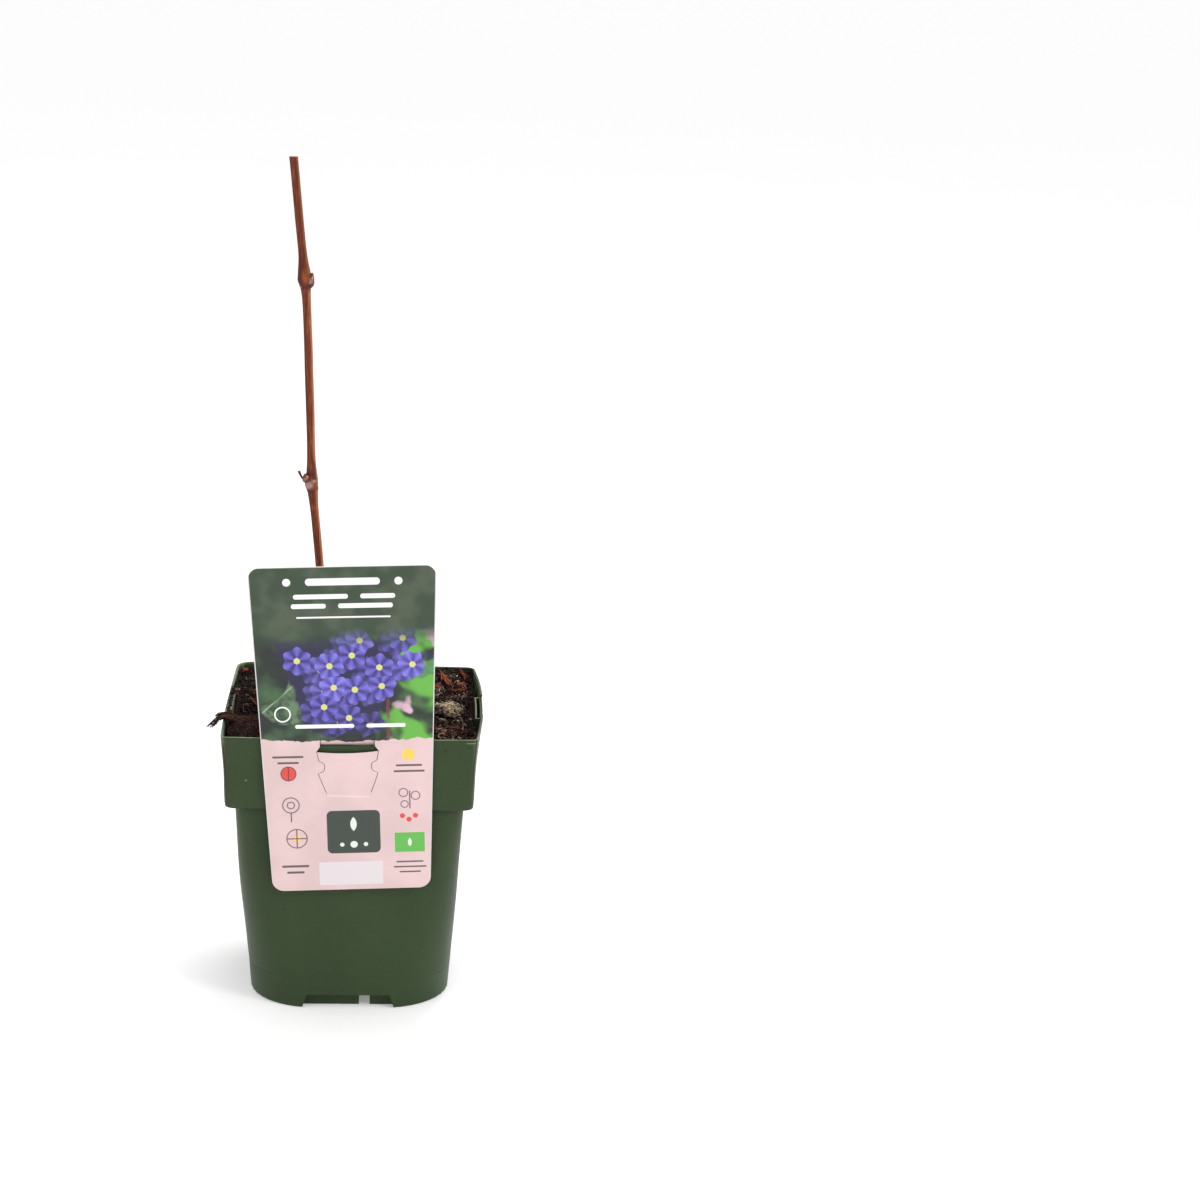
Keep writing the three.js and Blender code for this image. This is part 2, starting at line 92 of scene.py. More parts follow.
class PotSizes(PropertyGroup):
    height: length("Height", "Underside to rim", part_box("pot")[1].z / MM)
    rim_width: length("Rim width", "Across the rim, at its corners", 106)
    collar_width: length("Collar width", "Across the collar's lower edge", 101.2)
    shoulder: length("Shoulder height", "Height of the collar's lower edge", 92)
    shoulder_width: length("Shoulder width", "Across the body under the collar", 95.1)
    base_width: length("Base width", "Across the underside", 85.2)
    rim_corner: length("Rim corner", "Corner radius of the collar", 2.8)
    shoulder_corner: length("Shoulder corner", "Corner radius of the body under the collar", 5.5)
    base_corner: length("Base corner", "Corner radius of the underside", 28)
    wall: length("Wall", "Thickness of the wall", 1.1)
    floor: length("Floor", "Height of the floor inside, over the foot's hollows", 7.4)


class PotDetails(PropertyGroup):
    pocket_half: length("Pocket half length", "Half the length of a rim pocket", 14.5)
    pocket_wall: length("Pocket wall", "Thickness of a rim pocket's inner wall", 0.8)
    pocket_depth: length("Pocket depth", "Depth of a rim pocket", 26)
    notch_half: length("Notch half width", "Half the width of a foot notch at its top", 17.5)
    notch_flare: length("Notch flare", "How much a foot notch widens at the ground", 2)
    notch_height: length("Notch height", "Height of a foot notch", 6.1)
    notch_inset: length("Notch depth", "How far a foot notch goes in", 4.6)
    channel_half: length("Channel half width", "Half the width of a drain channel", 2.3)
    channel_height: length("Channel height", "Height of a drain channel", 5)
    channel_offset: length("Channel offset", "How far a drain channel lies off the middle", 6.8)
    drain_radius: length("Drain radius", "Radius of a drain hole", 3)
    score_height: length("Score height", "Height of the scored line round the body", 14.2)
    score_depth: length("Score depth", "Depth of the scored line", 0.15)


class SoilSizes(PropertyGroup):
    level: length("Level", "Height of the peat at the cane", 118.2)
    bank: length("Bank", "How much higher the peat is heaped at the back and left walls", 4.2)
    top: length("Top", "Height under which the heaped peat stays", 123.1)
    rise: length("Rise", "How much the peat rises from its middle to the back", 1.4)
    waves: length("Waves", "Height of the peat's broad waves", 0.9)
    relief: length("Relief", "Height of the peat's fine relief", 1.25)
    crumb: length("Crumb", "Size of a common crumb", 0.82)


class CaneSizes(PropertyGroup):
    foot: length("Foot", "Height at which the cane leaves the peat", 118.5)
    tip: length("Tip", "Height of the cut tip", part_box("cane")[1].z / MM)
    flare: length("Flare", "How much the foot widens", 1.5)
    flare_height: length("Flare height", "How far up the foot widens", 5)
    ribs: length("Ribs", "Depth of the ribs along the bark", 0.09)


class CardSizes(PropertyGroup):
    top: length("Top", "Hook line to the card's upper edge", 76.8)
    bottom: length("Bottom", "Hook line to the card's lower edge", 64.6)
    half_top: length("Half width, top", "Half the card's width at its upper edge", 37.9)
    half_bottom: length("Half width, bottom", "Half the card's width at its lower edge", 33.0)
    corner: length("Corner", "Corner radius of the card", 7)
    thickness: length("Thickness", "Thickness of the card", 0.5)
    slit: length("Slit", "Width of the slits beside the tongue", 0.26)


class Counts(PropertyGroup):
    crumbs: IntProperty(name="Crumbs", description="Small crumbs on the peat", default=7400, min=1)
    lumps: IntProperty(name="Lumps", description="Larger lumps on the peat", default=200, min=1)
    hairs: IntProperty(name="Hairs", description="Loose hairs on the peat", default=4400, min=1)
    tuft_hairs: IntProperty(name="Tuft hairs", description="Hairs of the tuft", default=1500, min=1)
    grains: IntProperty(name="Grains", description="Curls on the pale clump", default=900, min=1)


class Colours(PropertyGroup):
    pot: colour("Pot", "Green plastic", 47, 62, 37)
    # the pot's wear colour is also its painted highlight on the rim, the collar's front corners and the left
    # inner wall
    pot_wear_and_sheen: colour("Pot wear", "Scuffs and rubbed edges of the pot", 126, 138, 112)
    dirt: colour("Dirt", "Peat stains on the pot", 66, 52, 40)
    # the darkest peat tone is also painted shade in the hollows of the peat bed's bump
    peat_dark: colour("Peat, dark", "Hollows of the peat", 8, 4, 3)
    peat_light: colour("Peat, light", "Crests of the peat", 48, 29, 21)
    cane: colour("Cane", "Bark of the cane", 112, 54, 28)
    cane_dark: colour("Cane, dark", "Dark streaks of the bark", 50, 18, 13)
    cane_light: colour("Cane, light", "Pale streaks of the bark", 170, 104, 70)
    bud: colour("Bud", "Bud scales", 88, 36, 26)
    wool: colour("Wool", "Pale edges of the bud scales", 206, 176, 160)
    chip: colour("Bark chip", "Bark chips", 136, 60, 30)
    clump: colour("Clump", "Pale dry clump", 186, 164, 132)
    fibre: colour("Fibre", "Matted fibre", 27, 14, 11)
    band: colour("Card band", "Dark band of the card", 44, 62, 42)
    paper: colour("Card paper", "Pale paper of the card", 212, 184, 184)
    petal: colour("Card petals", "Flowers in the card's picture", 98, 88, 184)
    leaf: colour("Card leaves", "Bright leaves in the card's picture", 96, 168, 62)
    floor: colour("Floor", "Studio floor", 246, 246, 246)


# Numbers and noise

def lerp(a, b, t):
    return a + (b - a) * t


def ease(low, high, value):
    """A smooth step: 0 under low, 1 over high, 3t² - 2t³ between."""
    t = np.clip((value - low) / (high - low), 0, 1)
    return t * t * (3 - 2 * t)


def unit(vectors):
    return vectors / np.maximum(np.linalg.norm(vectors, axis=-1, keepdims=True), 1e-9)


def noise(points, cell, seed):
    """Smooth lattice noise from -1 to 1: each lattice corner has a hashed value, and the eight
    corners round a point are blended by smooth steps."""
    at = np.asarray(points, float) / cell
    base = np.floor(at).astype(np.int64)
    part = at - base
    part = part * part * (3 - 2 * part)
    total = 0
    for corner in np.ndindex(2, 2, 2):
        x, y, z = np.moveaxis(base + corner, -1, 0)
        code = (x * 73856093 ^ y * 19349663 ^ z * 83492791 ^ seed * 39916801) & 0xFFFFFFFF
        code = ((code ^ code >> 15) * 2246822519) & 0xFFFFFFFF
        code = ((code ^ code >> 13) * 3266489917) & 0xFFFFFFFF
        value = (code >> 8 & 0xFFFF) / 32767.5 - 1
        weight = np.where(np.array(corner) == 1, part, 1 - part).prod(-1)
        total = total + weight * value
    return total


def layered(points, cell, layers, seed):
    """Noise in layers, each with half the cell and half the height of the last."""
    return sum(noise(points, cell / 2 ** k, seed + k) / 2 ** k for k in range(layers))


def flat(x, y):
    return np.stack([x, y, np.zeros_like(x)], -1)


def curve_through(stops, count):
    """Points along smooth curves: stops is (..., k, 3), and the cubic between two stops has the
    mean slope of their neighbours at each end."""
    k = stops.shape[-2]
    t = np.linspace(0, k - 1, count)
    i = np.minimum(t.astype(int), k - 2)
    t = (t - i)[:, None]
    before, start, end, after = (
        stops[..., np.clip(i + step, 0, k - 1), :] for step in (-1, 0, 1, 2))
    return 0.5 * (2 * start + (end - before) * t
                  + (2 * before - 5 * start + 4 * end - after) * t ** 2
                  + (3 * start - before - 3 * end + after) * t ** 3)


def turned(about, angle):
    """Rotation matrices (n, 3, 3) by angles about unit axes: cos I + sin [k] + (1 - cos) k kT."""
    x, y, z = np.moveaxis(about, -1, 0)
    zero = np.zeros_like(x)
    cross = np.stack([zero, -z, y, z, zero, -x, -y, x, zero], -1).reshape(-1, 3, 3)
    c, s = np.cos(angle)[:, None, None], np.sin(angle)[:, None, None]
    return c * np.eye(3) + s * cross + (1 - c) * about[:, :, None] * about[:, None, :]


# Solids: a pair of points (n, 3) and a list of face arrays

def grid(rows, columns, closed=False):
    """Quads between the points of a grid. A closed grid joins its last column to its first."""
    r, c = np.meshgrid(np.arange(rows - 1), np.arange(columns if closed else columns - 1),
                       indexing="ij")
    d = (c + 1) % columns
    quads = [r * columns + c, r * columns + d, (r + 1) * columns + d, (r + 1) * columns + c]
    return np.stack(quads, -1).reshape(-1, 4)


def outward(points, faces):
    """The solid with its faces turned outward, judged by its signed volume."""
    volume = 0
    for group in faces:
        for k in range(1, group.shape[1] - 1):
            a, b, c = (points[group[:, j]] for j in (0, k, k + 1))
            volume += np.einsum("ij,ij->", a, np.cross(b, c))
    return points, faces if volume > 0 else [group[:, ::-1] for group in faces]


def tube(rings):
    """A closed solid of stacked rings (rows, columns, 3), with a fan to the middle of each end."""
    rows, columns = rings.shape[:2]
    points = np.concatenate([rings.reshape(-1, 3), rings[:1].mean(1), rings[-1:].mean(1)])
    c = np.arange(columns)
    d = (c + 1) % columns
    low = np.full(columns, rows * columns)
    last = (rows - 1) * columns
    ends = [np.stack([low, d, c], -1), np.stack([low + 1, last + c, last + d], -1)]
    return outward(points, [grid(rows, columns, closed=True), *ends])


def tubes(paths, radii, sides=3):
    """Thin closed tubes along paths (n, rows, 3) with radii (n, rows)."""
    count = len(paths)
    tangent = unit(np.gradient(paths, axis=1))
    across = unit(np.cross(tangent, np.array([0.31, 0.27, 0.91])))
    other = np.cross(tangent, across)
    turn = 2 * np.pi * np.arange(sides) / sides
    rings = paths[:, :, None] + radii[:, :, None, None] * (
        np.cos(turn)[:, None] * across[:, :, None] + np.sin(turn)[:, None] * other[:, :, None])
    _, faces = tube(rings[0])
    ends = np.stack([paths[:, 0], paths[:, -1]], 1)
    points = np.concatenate([rings.reshape(count, -1, 3), ends], 1)
    return copies(points, faces)


def tube_points(rows, sides):
    """How many points one of the thin tubes has."""
    return rows * sides + 2


def copies(points, faces):
    """Joins n solids of one topology: points is (n, p, 3) and faces are one solid's."""
    count, each = points.shape[:2]
    shift = (np.arange(count) * each)[:, None, None]
    return points.reshape(-1, 3), [(f[None] + shift).reshape(-1, f.shape[1]) for f in faces]


def joined(solids):
    points, faces, start = [], [], 0
    for p, groups in solids:
        points.append(p)
        faces += [group + start for group in groups]
        start += len(p)
    return np.concatenate(points), faces


def between(front, back):
    """A closed solid between two grids of points (rows, columns, 3)."""
    rows, columns = front.shape[:2]
    index = np.arange(rows * columns).reshape(rows, columns)
    edge = np.concatenate([index[0], index[1:, -1], index[-1, -2::-1], index[-2:0:-1, 0]])
    after = np.roll(edge, -1)
    total = rows * columns
    wall = np.stack([edge, edge + total, after + total, after], -1)
    faces = grid(rows, columns)
    points = np.concatenate([front.reshape(-1, 3), back.reshape(-1, 3)])
    return outward(points, [faces, faces[:, ::-1] + total, wall])


def ball(subdivisions):
    """Unit ball of near even triangles."""
    work = bmesh.new()
    bmesh.ops.create_icosphere(work, subdivisions=subdivisions, radius=1)
    points = np.array([v.co for v in work.verts])
    faces = np.array([[v.index for v in f.verts] for f in work.faces])
    work.free()
    return points, [faces]


def prism(outline, low, high):
    """A flat outline (n, 2) of x and z, pushed from one y to another."""
    x, z = np.asarray(outline, float).T
    return tube(np.stack([np.stack([x, np.full_like(x, y), z], -1) for y in (low, high)]))


def quarter(solid, side):
    """The solid turned by quarter turns about Z: 0 is the front, then right, back and left."""
    points, faces = solid
    c, s = [(1, 0), (0, 1), (-1, 0), (0, -1)][side]
    return points @ np.array([[c, s, 0], [-s, c, 0], [0, 0, 1.0]]), faces


def to_mesh(name, solid):
    points, groups = solid
    mesh = bpy.data.meshes.new(name)
    corners = np.concatenate([group.ravel() for group in groups]).astype(np.int32)
    sizes = np.concatenate([np.full(len(group), group.shape[1]) for group in groups])
    starts = np.concatenate([[0], np.cumsum(sizes)[:-1]]).astype(np.int32)
    mesh.vertices.add(len(points))
    mesh.vertices.foreach_set("co", (points * MM).astype(np.float32).ravel())
    mesh.loops.add(len(corners))
    mesh.loops.foreach_set("vertex_index", corners)
    mesh.polygons.add(len(sizes))
    mesh.polygons.foreach_set("loop_start", starts)
    mesh.update(calc_edges=True)
    return mesh


def carve(base, steps):
    """The mesh of a solid after each (operation, solid) of the steps."""
    pieces = [bpy.data.objects.new("carve", to_mesh("carve", solid))
              for solid in (base, *(solid for _, solid in steps))]
    for piece in pieces:
        bpy.context.scene.collection.objects.link(piece)
    for (operation, _), tool in zip(steps, pieces[1:]):
        step = pieces[0].modifiers.new(operation, "BOOLEAN")
        step.operation, step.solver, step.object = operation, "MANIFOLD", tool
    shape = pieces[0].evaluated_get(bpy.context.evaluated_depsgraph_get())
    mesh = bpy.data.meshes.new_from_object(shape)
    for piece in pieces:
        old = piece.data
        bpy.data.objects.remove(piece)
        bpy.data.meshes.remove(old)
    if len(mesh.polygons) < 20:
        raise RuntimeError("a carved piece came out empty")
    return mesh


def mark(mesh, name, values, domain="POINT"):
    layer = mesh.attributes.new(name, "FLOAT", domain)
    layer.data.foreach_set("value", np.asarray(values, np.float32).ravel())


def show(name, mesh, material, nodes=(), crease=None):
    """A finished piece: shaded, painted, and riding the one body in place of its CAD nodes. It is
    smooth all over, or flat with a crease of 0, or sharp only where it bends by more degrees."""
    mesh.name = name
    if crease != 0:
        mesh.polygons.foreach_set("use_smooth", np.ones(len(mesh.polygons), bool))
    if crease:
        mesh.set_sharp_from_angle(angle=math.radians(crease))
    mesh.materials.clear()
    mesh.materials.append(material)
    piece = bpy.data.objects.new(name, mesh)
    bpy.context.scene.collection.objects.link(piece)
    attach(piece, "root")
    if nodes:
        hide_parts(*nodes)


# Finishes, written as expressions on node sockets

class Wire:
    """A socket. Arithmetic on it adds Math nodes."""

    def __init__(self, paint, socket):
        self.paint, self.socket = paint, socket

    def math(self, operation, *others):
        values = {i: value for i, value in enumerate((self, *others))}
        return self.paint.node("ShaderNodeMath", {"operation": operation}, values)

    def __add__(self, other):
        return self.math("ADD", other)

    def __sub__(self, other):
        return self.math("SUBTRACT", other)

    def __rsub__(self, other):
        return self.paint.node("ShaderNodeMath", {"operation": "SUBTRACT"}, {0: other, 1: self})

    def __mul__(self, other):
        return self.math("MULTIPLY", other)

    def __truediv__(self, other):
        return self.math("DIVIDE", other)

    def __pow__(self, other):
        return self.math("POWER", other)

    def __neg__(self):
        return self * -1

    def __abs__(self):
        return self.math("ABSOLUTE")

    __radd__ = __add__
    __rmul__ = __mul__

    def over(self, low, high):
        """A smooth mask: 0 at low, 1 at high."""
        return self.paint.node(
            "ShaderNodeMapRange", {"interpolation_type": "SMOOTHSTEP"},
            {"Value": self, "From Min": low, "From Max": high})

    def least(self, other):
        return self.math("MINIMUM", other)

    def most(self, other):
        return self.math("MAXIMUM", other)


class Paint:
    """A material's nodes."""

    def __init__(self, name):
        self.material = bpy.data.materials.new(name)
        self.material.use_nodes = True
        self.tree = self.material.node_tree
        self.tree.nodes.clear()

    def node(self, kind, settings=None, sockets=None, out=0):
        """Any node: its settings, then the values or links of its sockets. Gives one output."""
        made = self.tree.nodes.new(kind)
        for key, value in (settings or {}).items():
            if key == "stops":
                stops = made.color_ramp.elements
                while len(stops) < len(value):
                    stops.new(0.5)
                for stop, (place, tint) in zip(stops, value):
                    stop.position, stop.color = place, tint
            else:
                setattr(made, key, value)
        for key, value in (sockets or {}).items():
            if isinstance(value, Wire):
                self.tree.links.new(value.socket, made.inputs[key])
            else:
                made.inputs[key].default_value = value
        return Wire(self, made.outputs[out]) if len(made.outputs) else None

    def place(self):
        """Object coordinates in millimetres."""
        spot = self.node("ShaderNodeTexCoord", out="Object")
        return self.node("ShaderNodeVectorMath", {"operation": "SCALE"}, {0: spot, "Scale": 1 / MM}, 0)

    def stretch(self, vector, x, y, z):
        """The vector scaled along each axis: a low number draws noise out along it."""
        return self.node("ShaderNodeVectorMath", {"operation": "MULTIPLY"}, {0: vector, 1: (x, y, z)})

    def split(self, vector):
        return [self.node("ShaderNodeSeparateXYZ", None, {0: vector}, axis) for axis in range(3)]

    def vector(self, x, y, z):
        return self.node("ShaderNodeCombineXYZ", None, {0: x, 1: y, 2: z})

    def noise(self, vector, cell, detail=2.0, rough=0.5, bend=0.0):
        """Noise from 0 to 1 with features about a cell, in millimetres, across."""
        return self.node("ShaderNodeTexNoise", None, {
            "Vector": vector, "Scale": 1 / cell, "Detail": detail, "Roughness": rough,
            "Distortion": bend})

    def mark(self, name):
        return self.node("ShaderNodeAttribute", {"attribute_name": name}, None, "Fac")

    def blend(self, mask, first, second):
        """Colours: first where the mask is 0, second where it is 1."""
        return self.node("ShaderNodeMix", {"data_type": "RGBA"}, {0: mask, 6: first, 7: second}, 2)

    def ramp(self, value, *stops):
        return self.node("ShaderNodeValToRGB", {"stops": stops}, {0: value})

    def bump(self, height):
        """A normal from a height in millimetres."""
        return self.node("ShaderNodeBump", None, {"Height": height, "Distance": MM, "Strength": 1.0})

    def finish(self, base, rough, height=None, **constants):
        """The material, with a height in millimetres and constants named like their sockets."""
        sockets = {"Base Color": base, "Roughness": rough}
        if height is not None:
            sockets["Normal"] = self.bump(height)
        sockets.update({key.replace("_", " "): value for key, value in constants.items()})
        shader = self.node("ShaderNodeBsdfPrincipled", None, sockets)
        self.node("ShaderNodeOutputMaterial", None, {"Surface": shader})
        return self.material


def shade(tint, factor):
    """A colour made darker or lighter."""
    return tuple(min(v * factor, 1) for v in tuple(tint)[:3]) + (1.0,)


def mixed(first, second, t):
    """A colour between two."""
    return tuple(lerp(a, b, t) for a, b in zip(tuple(first), tuple(second)))


def pot_finish(tints):
    """Moulded plastic: cloudy green, fine grain, scuffs, a pale rim of rubbed wear and painted
    highlight, peat stains, a browner front left corner, inner walls darkened by painted shade and
    dirt, painted highlights on the collar's front corners and the left inner wall, a painted shadow
    under the collar, and a speck and a nick on the collar."""
    p = Paint("pot_plastic")
    at = p.place()
    x, y, z = p.split(at)
    ahead, leftward = -y, -x
    out = abs(x).most(abs(y))
    collar_half = z * 0.0738 + 43.83

    cloud = p.noise(at, 34, 3)
    grain = p.noise(at, 0.35, 2)
    splash = p.noise(at, 4, 4, 0.7)
    specks = p.noise(at, 0.9, 1).over(0.70, 0.78)
    rubs = p.noise(p.stretch(at, 1, 1, 7), 9, 4, 0.65, 0.4).over(0.62, 0.80)
    lines = p.noise(p.stretch(at, 3.2, 3.2, 0.22), 2.6, 3, 0.7).over(0.66, 0.74)

    # the rim is paler at the front and the left: patchy rubbed wear with a painted highlight that fades to
    # the back, and a thin painted highlight runs under it at the right
    painted_rim_light = ahead.over(-52, -30) * 0.5 + ahead.over(44, 51) * 0.5
    painted_rim_light = painted_rim_light.most(leftward.over(47, 52) * 0.8)
    worn = 0.55 + p.noise(at, 5, 3).over(0.3, 0.6) * 0.45
    rim = z.over(123.72, 123.90) * (0.12 + painted_rim_light * 0.88) * worn
    painted_strip_highlight = x.over(47.5, 48.5) * z.over(122.08, 122.24) * z.over(122.7, 122.5)
    # painted highlight down the collar's two front corners
    painted_corner_highlight = abs(x).over(50.4, 52.4) * ahead.over(48.6, 50.4) * z.over(92, 94)
    # painted shadow in a band under the collar's lower edge
    painted_shadow_under_collar = z.over(92.2, 91.4) * z.over(89, 91.2)
    # the front left corner is browner in patches, and splashes below the rim are peat stains
    brown_left_corner = leftward.over(46, 52) * ahead.over(40, 50) * p.noise(at, 7, 3).over(0.35, 0.75)
    brown_marks = brown_left_corner * 0.45 + z.over(116, 124) * splash.over(0.60, 0.76) * 0.35
    # inner walls: darkened by painted shade and dirt, with a painted highlight on the top of the left inner
    # wall
    inside = z.over(93, 97) * (collar_half - out).over(0.35, 0.75)
    lit = leftward.over(45, 49) * z.over(119, 122)

    base = p.blend(cloud.over(0.3, 0.7), shade(tints.pot, 0.93), shade(tints.pot, 1.09))
    base = p.blend(specks * 0.14 + rubs * 0.14 + lines * 0.08, base, tuple(tints.pot_wear_and_sheen))
    # rubbed wear with a painted highlight on the rim, and a painted highlight on the strip top
    base = p.blend((rim * 0.85).most(painted_strip_highlight * 0.45), base, shade(tints.pot_wear_and_sheen, 1.30))
    # painted highlight on the collar's front corners
    base = p.blend(painted_corner_highlight * 0.30, base, tuple(tints.pot_wear_and_sheen))
    # painted shadow under the collar
    base = p.blend(painted_shadow_under_collar * 0.35, base, shade(tints.pot, 0.55))
    base = p.blend(brown_marks.least(0.8), base, tuple(tints.dirt))
    # painted shade with dirt on the inner walls
    base = p.blend(inside * (1 - lit) * (1 - rim) * 0.88, base, rgb(22, 25, 18))
    # painted highlight on the top of the left inner wall
    base = p.blend(inside * lit * 0.45, base, tuple(tints.pot_wear_and_sheen))
    base = p.blend(inside * splash.over(0.46, 0.66) * 0.6, base, rgb(42, 32, 26))

    on_front = ahead.over(45, 46)
    speck = ((x + 42.5) ** 2 + (z - 104.9) ** 2).math("SQRT").over(0.6, 0.25) * on_front
    along, across = (x - 39.2) * 0.8 + (z - 119.0) * 0.6, (z - 119.0) * 0.8 - (x - 39.2) * 0.6
    nick = abs(along).over(1.2, 0.7) * abs(across).over(0.4, 0.15) * on_front
    base = p.blend(speck * 0.6, base, tuple(tints.pot_wear_and_sheen))
    base = p.blend(nick * 0.75, base, shade(tints.pot, 0.35))
    rough = 0.38 + grain * 0.10 + rubs * 0.12 + brown_marks * 0.25
    height = grain * 0.03 + cloud * 0.5 - lines * 0.03 + brown_marks * 0.05
    return p.finish(base, rough, height, IOR=1.36, Specular_IOR_Level=0.3)


def peat_finish(tints):
    """Peat: its own dark and brown tones, laid by the bump so that near black sits in its hollows as
    painted shade and brown on its crests, with short pale fibres and dry specks.
    """
    p = Paint("peat")
    at = p.place()
    lumps = p.noise(at, 1.7, 4, 0.62)
    fine = p.noise(at, 0.35, 3, 0.6)
    dry = p.noise(at, 7, 3).over(0.42, 0.72)
    thread = p.noise(p.stretch(at, 0.25, 2.6, 1), 1.4, 2, 0.5, 1.5).over(0.66, 0.74)
    # the peat's own tones, with painted shade: the ramp follows the bump, so its hollows are near black
    base = p.ramp(lumps * 0.7 + fine * 0.3, (0.36, tuple(tints.peat_dark)),
                  (0.52, mixed(tints.peat_dark, tints.peat_light, 0.45)),
                  (0.66, tuple(tints.peat_light)))
    base = p.blend(thread * 0.5 + p.noise(at, 0.6, 1).over(0.74, 0.80) * 0.6, base, rgb(120, 98, 84))
    base = p.blend(dry * 0.16, base, rgb(78, 58, 46))
    return p.finish(base, 0.70 + fine * 0.3, lumps * 0.9 + fine * 0.35, IOR=1.22)


def crumb_finish(name, *stops):
    """Loose bits: each has its own tone, broken up by fine noise."""
    p = Paint(name)
    at = p.place()
    fine = p.noise(at, 0.3, 3, 0.6)
    tone = p.mark("tone") + (fine - 0.5) * 0.35
    return p.finish(p.ramp(tone, *stops), 0.60 + fine * 0.30, fine * 0.22, IOR=1.25)


def bark_finish(tints):
    """Cane bark: long red-brown, ochre and purple streaks, with a painted highlight on the right and
    painted shade on the left, redder high up and greyer low down, with dark pores, marks at the
    nodes and a cut tip."""
    p = Paint("cane_bark")
    at = p.place()
    z = p.split(at)[2]
    long = p.noise(p.stretch(at, 1, 1, 0.035), 0.62, 3, 0.6)
    thin = p.noise(p.stretch(at, 1, 1, 0.05), 0.22, 2, 0.5)
    blot = p.noise(p.stretch(at, 1, 1, 0.25), 2.3, 3, 0.6)
    pores = p.noise(p.stretch(at, 1, 1, 0.4), 0.34, 1).over(0.68, 0.76)
    # painted highlight on the right side and painted shade on the left side, by the "side" mark
    side = p.mark("side") + (long - 0.5) * 0.25
    tone = long * 0.50 + thin * 0.22 + blot * 0.28
    base = p.ramp(tone, (0.34, tuple(tints.cane_dark)), (0.45, mixed(tints.cane_dark, tints.cane, 0.6)),
                  (0.53, tuple(tints.cane)), (0.66, tuple(tints.cane_light)))
    base = p.blend(side.over(0.78, 0.98) * 0.60, base, rgb(190, 120, 84))
    base = p.blend(side.over(0.34, 0.04) * 0.65, base, rgb(52, 20, 20))
    base = p.blend(z.over(294, 312) * 0.50, base, rgb(80, 28, 14))
    base = p.blend(z.over(200, 128) * 0.30, base, rgb(84, 48, 32))
    base = p.blend(pores * 0.6, base, rgb(48, 22, 20))
    dark = p.mark("dark") * blot.over(0.28, 0.52)
    base = p.blend(dark.least(1) * 0.8, base, rgb(70, 30, 34))
    base = p.blend(p.mark("ochre") * thin.over(0.25, 0.6) * 0.7, base, rgb(158, 84, 44))
    scar = p.mark("scar") * p.noise(at, 0.7, 3, 0.6).over(0.22, 0.52)
    base = p.blend(scar * 0.85, base, rgb(176, 146, 140))
    wood = p.mark("cut")
    base = p.blend(wood, base, p.ramp(thin, (0.3, rgb(150, 118, 84)), (0.7, rgb(206, 178, 138))))
    base = p.blend(p.mark("pith"), base, rgb(92, 62, 44))
    rough = 0.42 + thin * 0.22 + p.mark("scar") * 0.2 + wood * 0.3
    height = long * 0.16 + thin * 0.09 - pores * 0.05
    return p.finish(base, rough, height, IOR=1.28, Specular_IOR_Level=0.4)


def bud_finish(tints):
    """Bud scales: glossy red-brown, darker low down as painted shade, with pale woolly edges and a
    painted highlight spot.
    """
    p = Paint("bud_scales")
    at = p.place()
    fine = p.noise(at, 0.3, 3, 0.6)
    blotch = p.noise(at, 0.9, 2)
    edge = p.mark("edge") * fine.over(0.36, 0.58)
    # painted shade: the scales are darker low down, by the "height" mark
    base = p.ramp(blotch * 0.6 + p.mark("height") * 0.4, (0.30, shade(tints.bud, 0.35)),
                  (0.55, tuple(tints.bud)), (0.85, shade(tints.bud, 1.5)))
    base = p.blend(edge * 0.30, base, tuple(tints.wool))
    # painted highlight: pale pink spots on the bud's front
    base = p.blend(p.mark("worn") * 0.75, base, rgb(214, 164, 152))
    return p.finish(base, 0.20 + fine * 0.2 + edge * 0.3, fine * 0.06, IOR=1.36)


def chip_finish(tints):
    """Bark chips: streaks along the grain, pale torn fibres, and dark tones that follow the bump, so
    its hollows are darkest as painted shade.
    """
    p = Paint("bark_chips")
    grain = p.vector(p.mark("along") * 0.16, p.mark("across"), p.mark("chip") * 37)
    long = p.noise(grain, 0.42, 4, 0.65)
    thin = p.noise(grain, 0.15, 2, 0.5)
    spots = p.noise(p.place(), 1.6, 3)
    tone = 0.5 + (long - 0.5) * 1.1 + (thin - 0.5) * 0.6 + (spots - 0.5) * 0.3 + p.mark("light") * 0.18
    # the bark's own streaks, with painted shade: the tone follows the bump, so its hollows are darkest
    base = p.ramp(tone, (0.36, rgb(34, 10, 7)), (0.48, rgb(78, 28, 15)), (0.59, tuple(tints.chip)),
                  (0.74, rgb(172, 84, 42)), (0.90, rgb(206, 140, 96)))
    return p.finish(base, 0.50 + thin * 0.3, long * 0.5 + thin * 0.3, IOR=1.3)


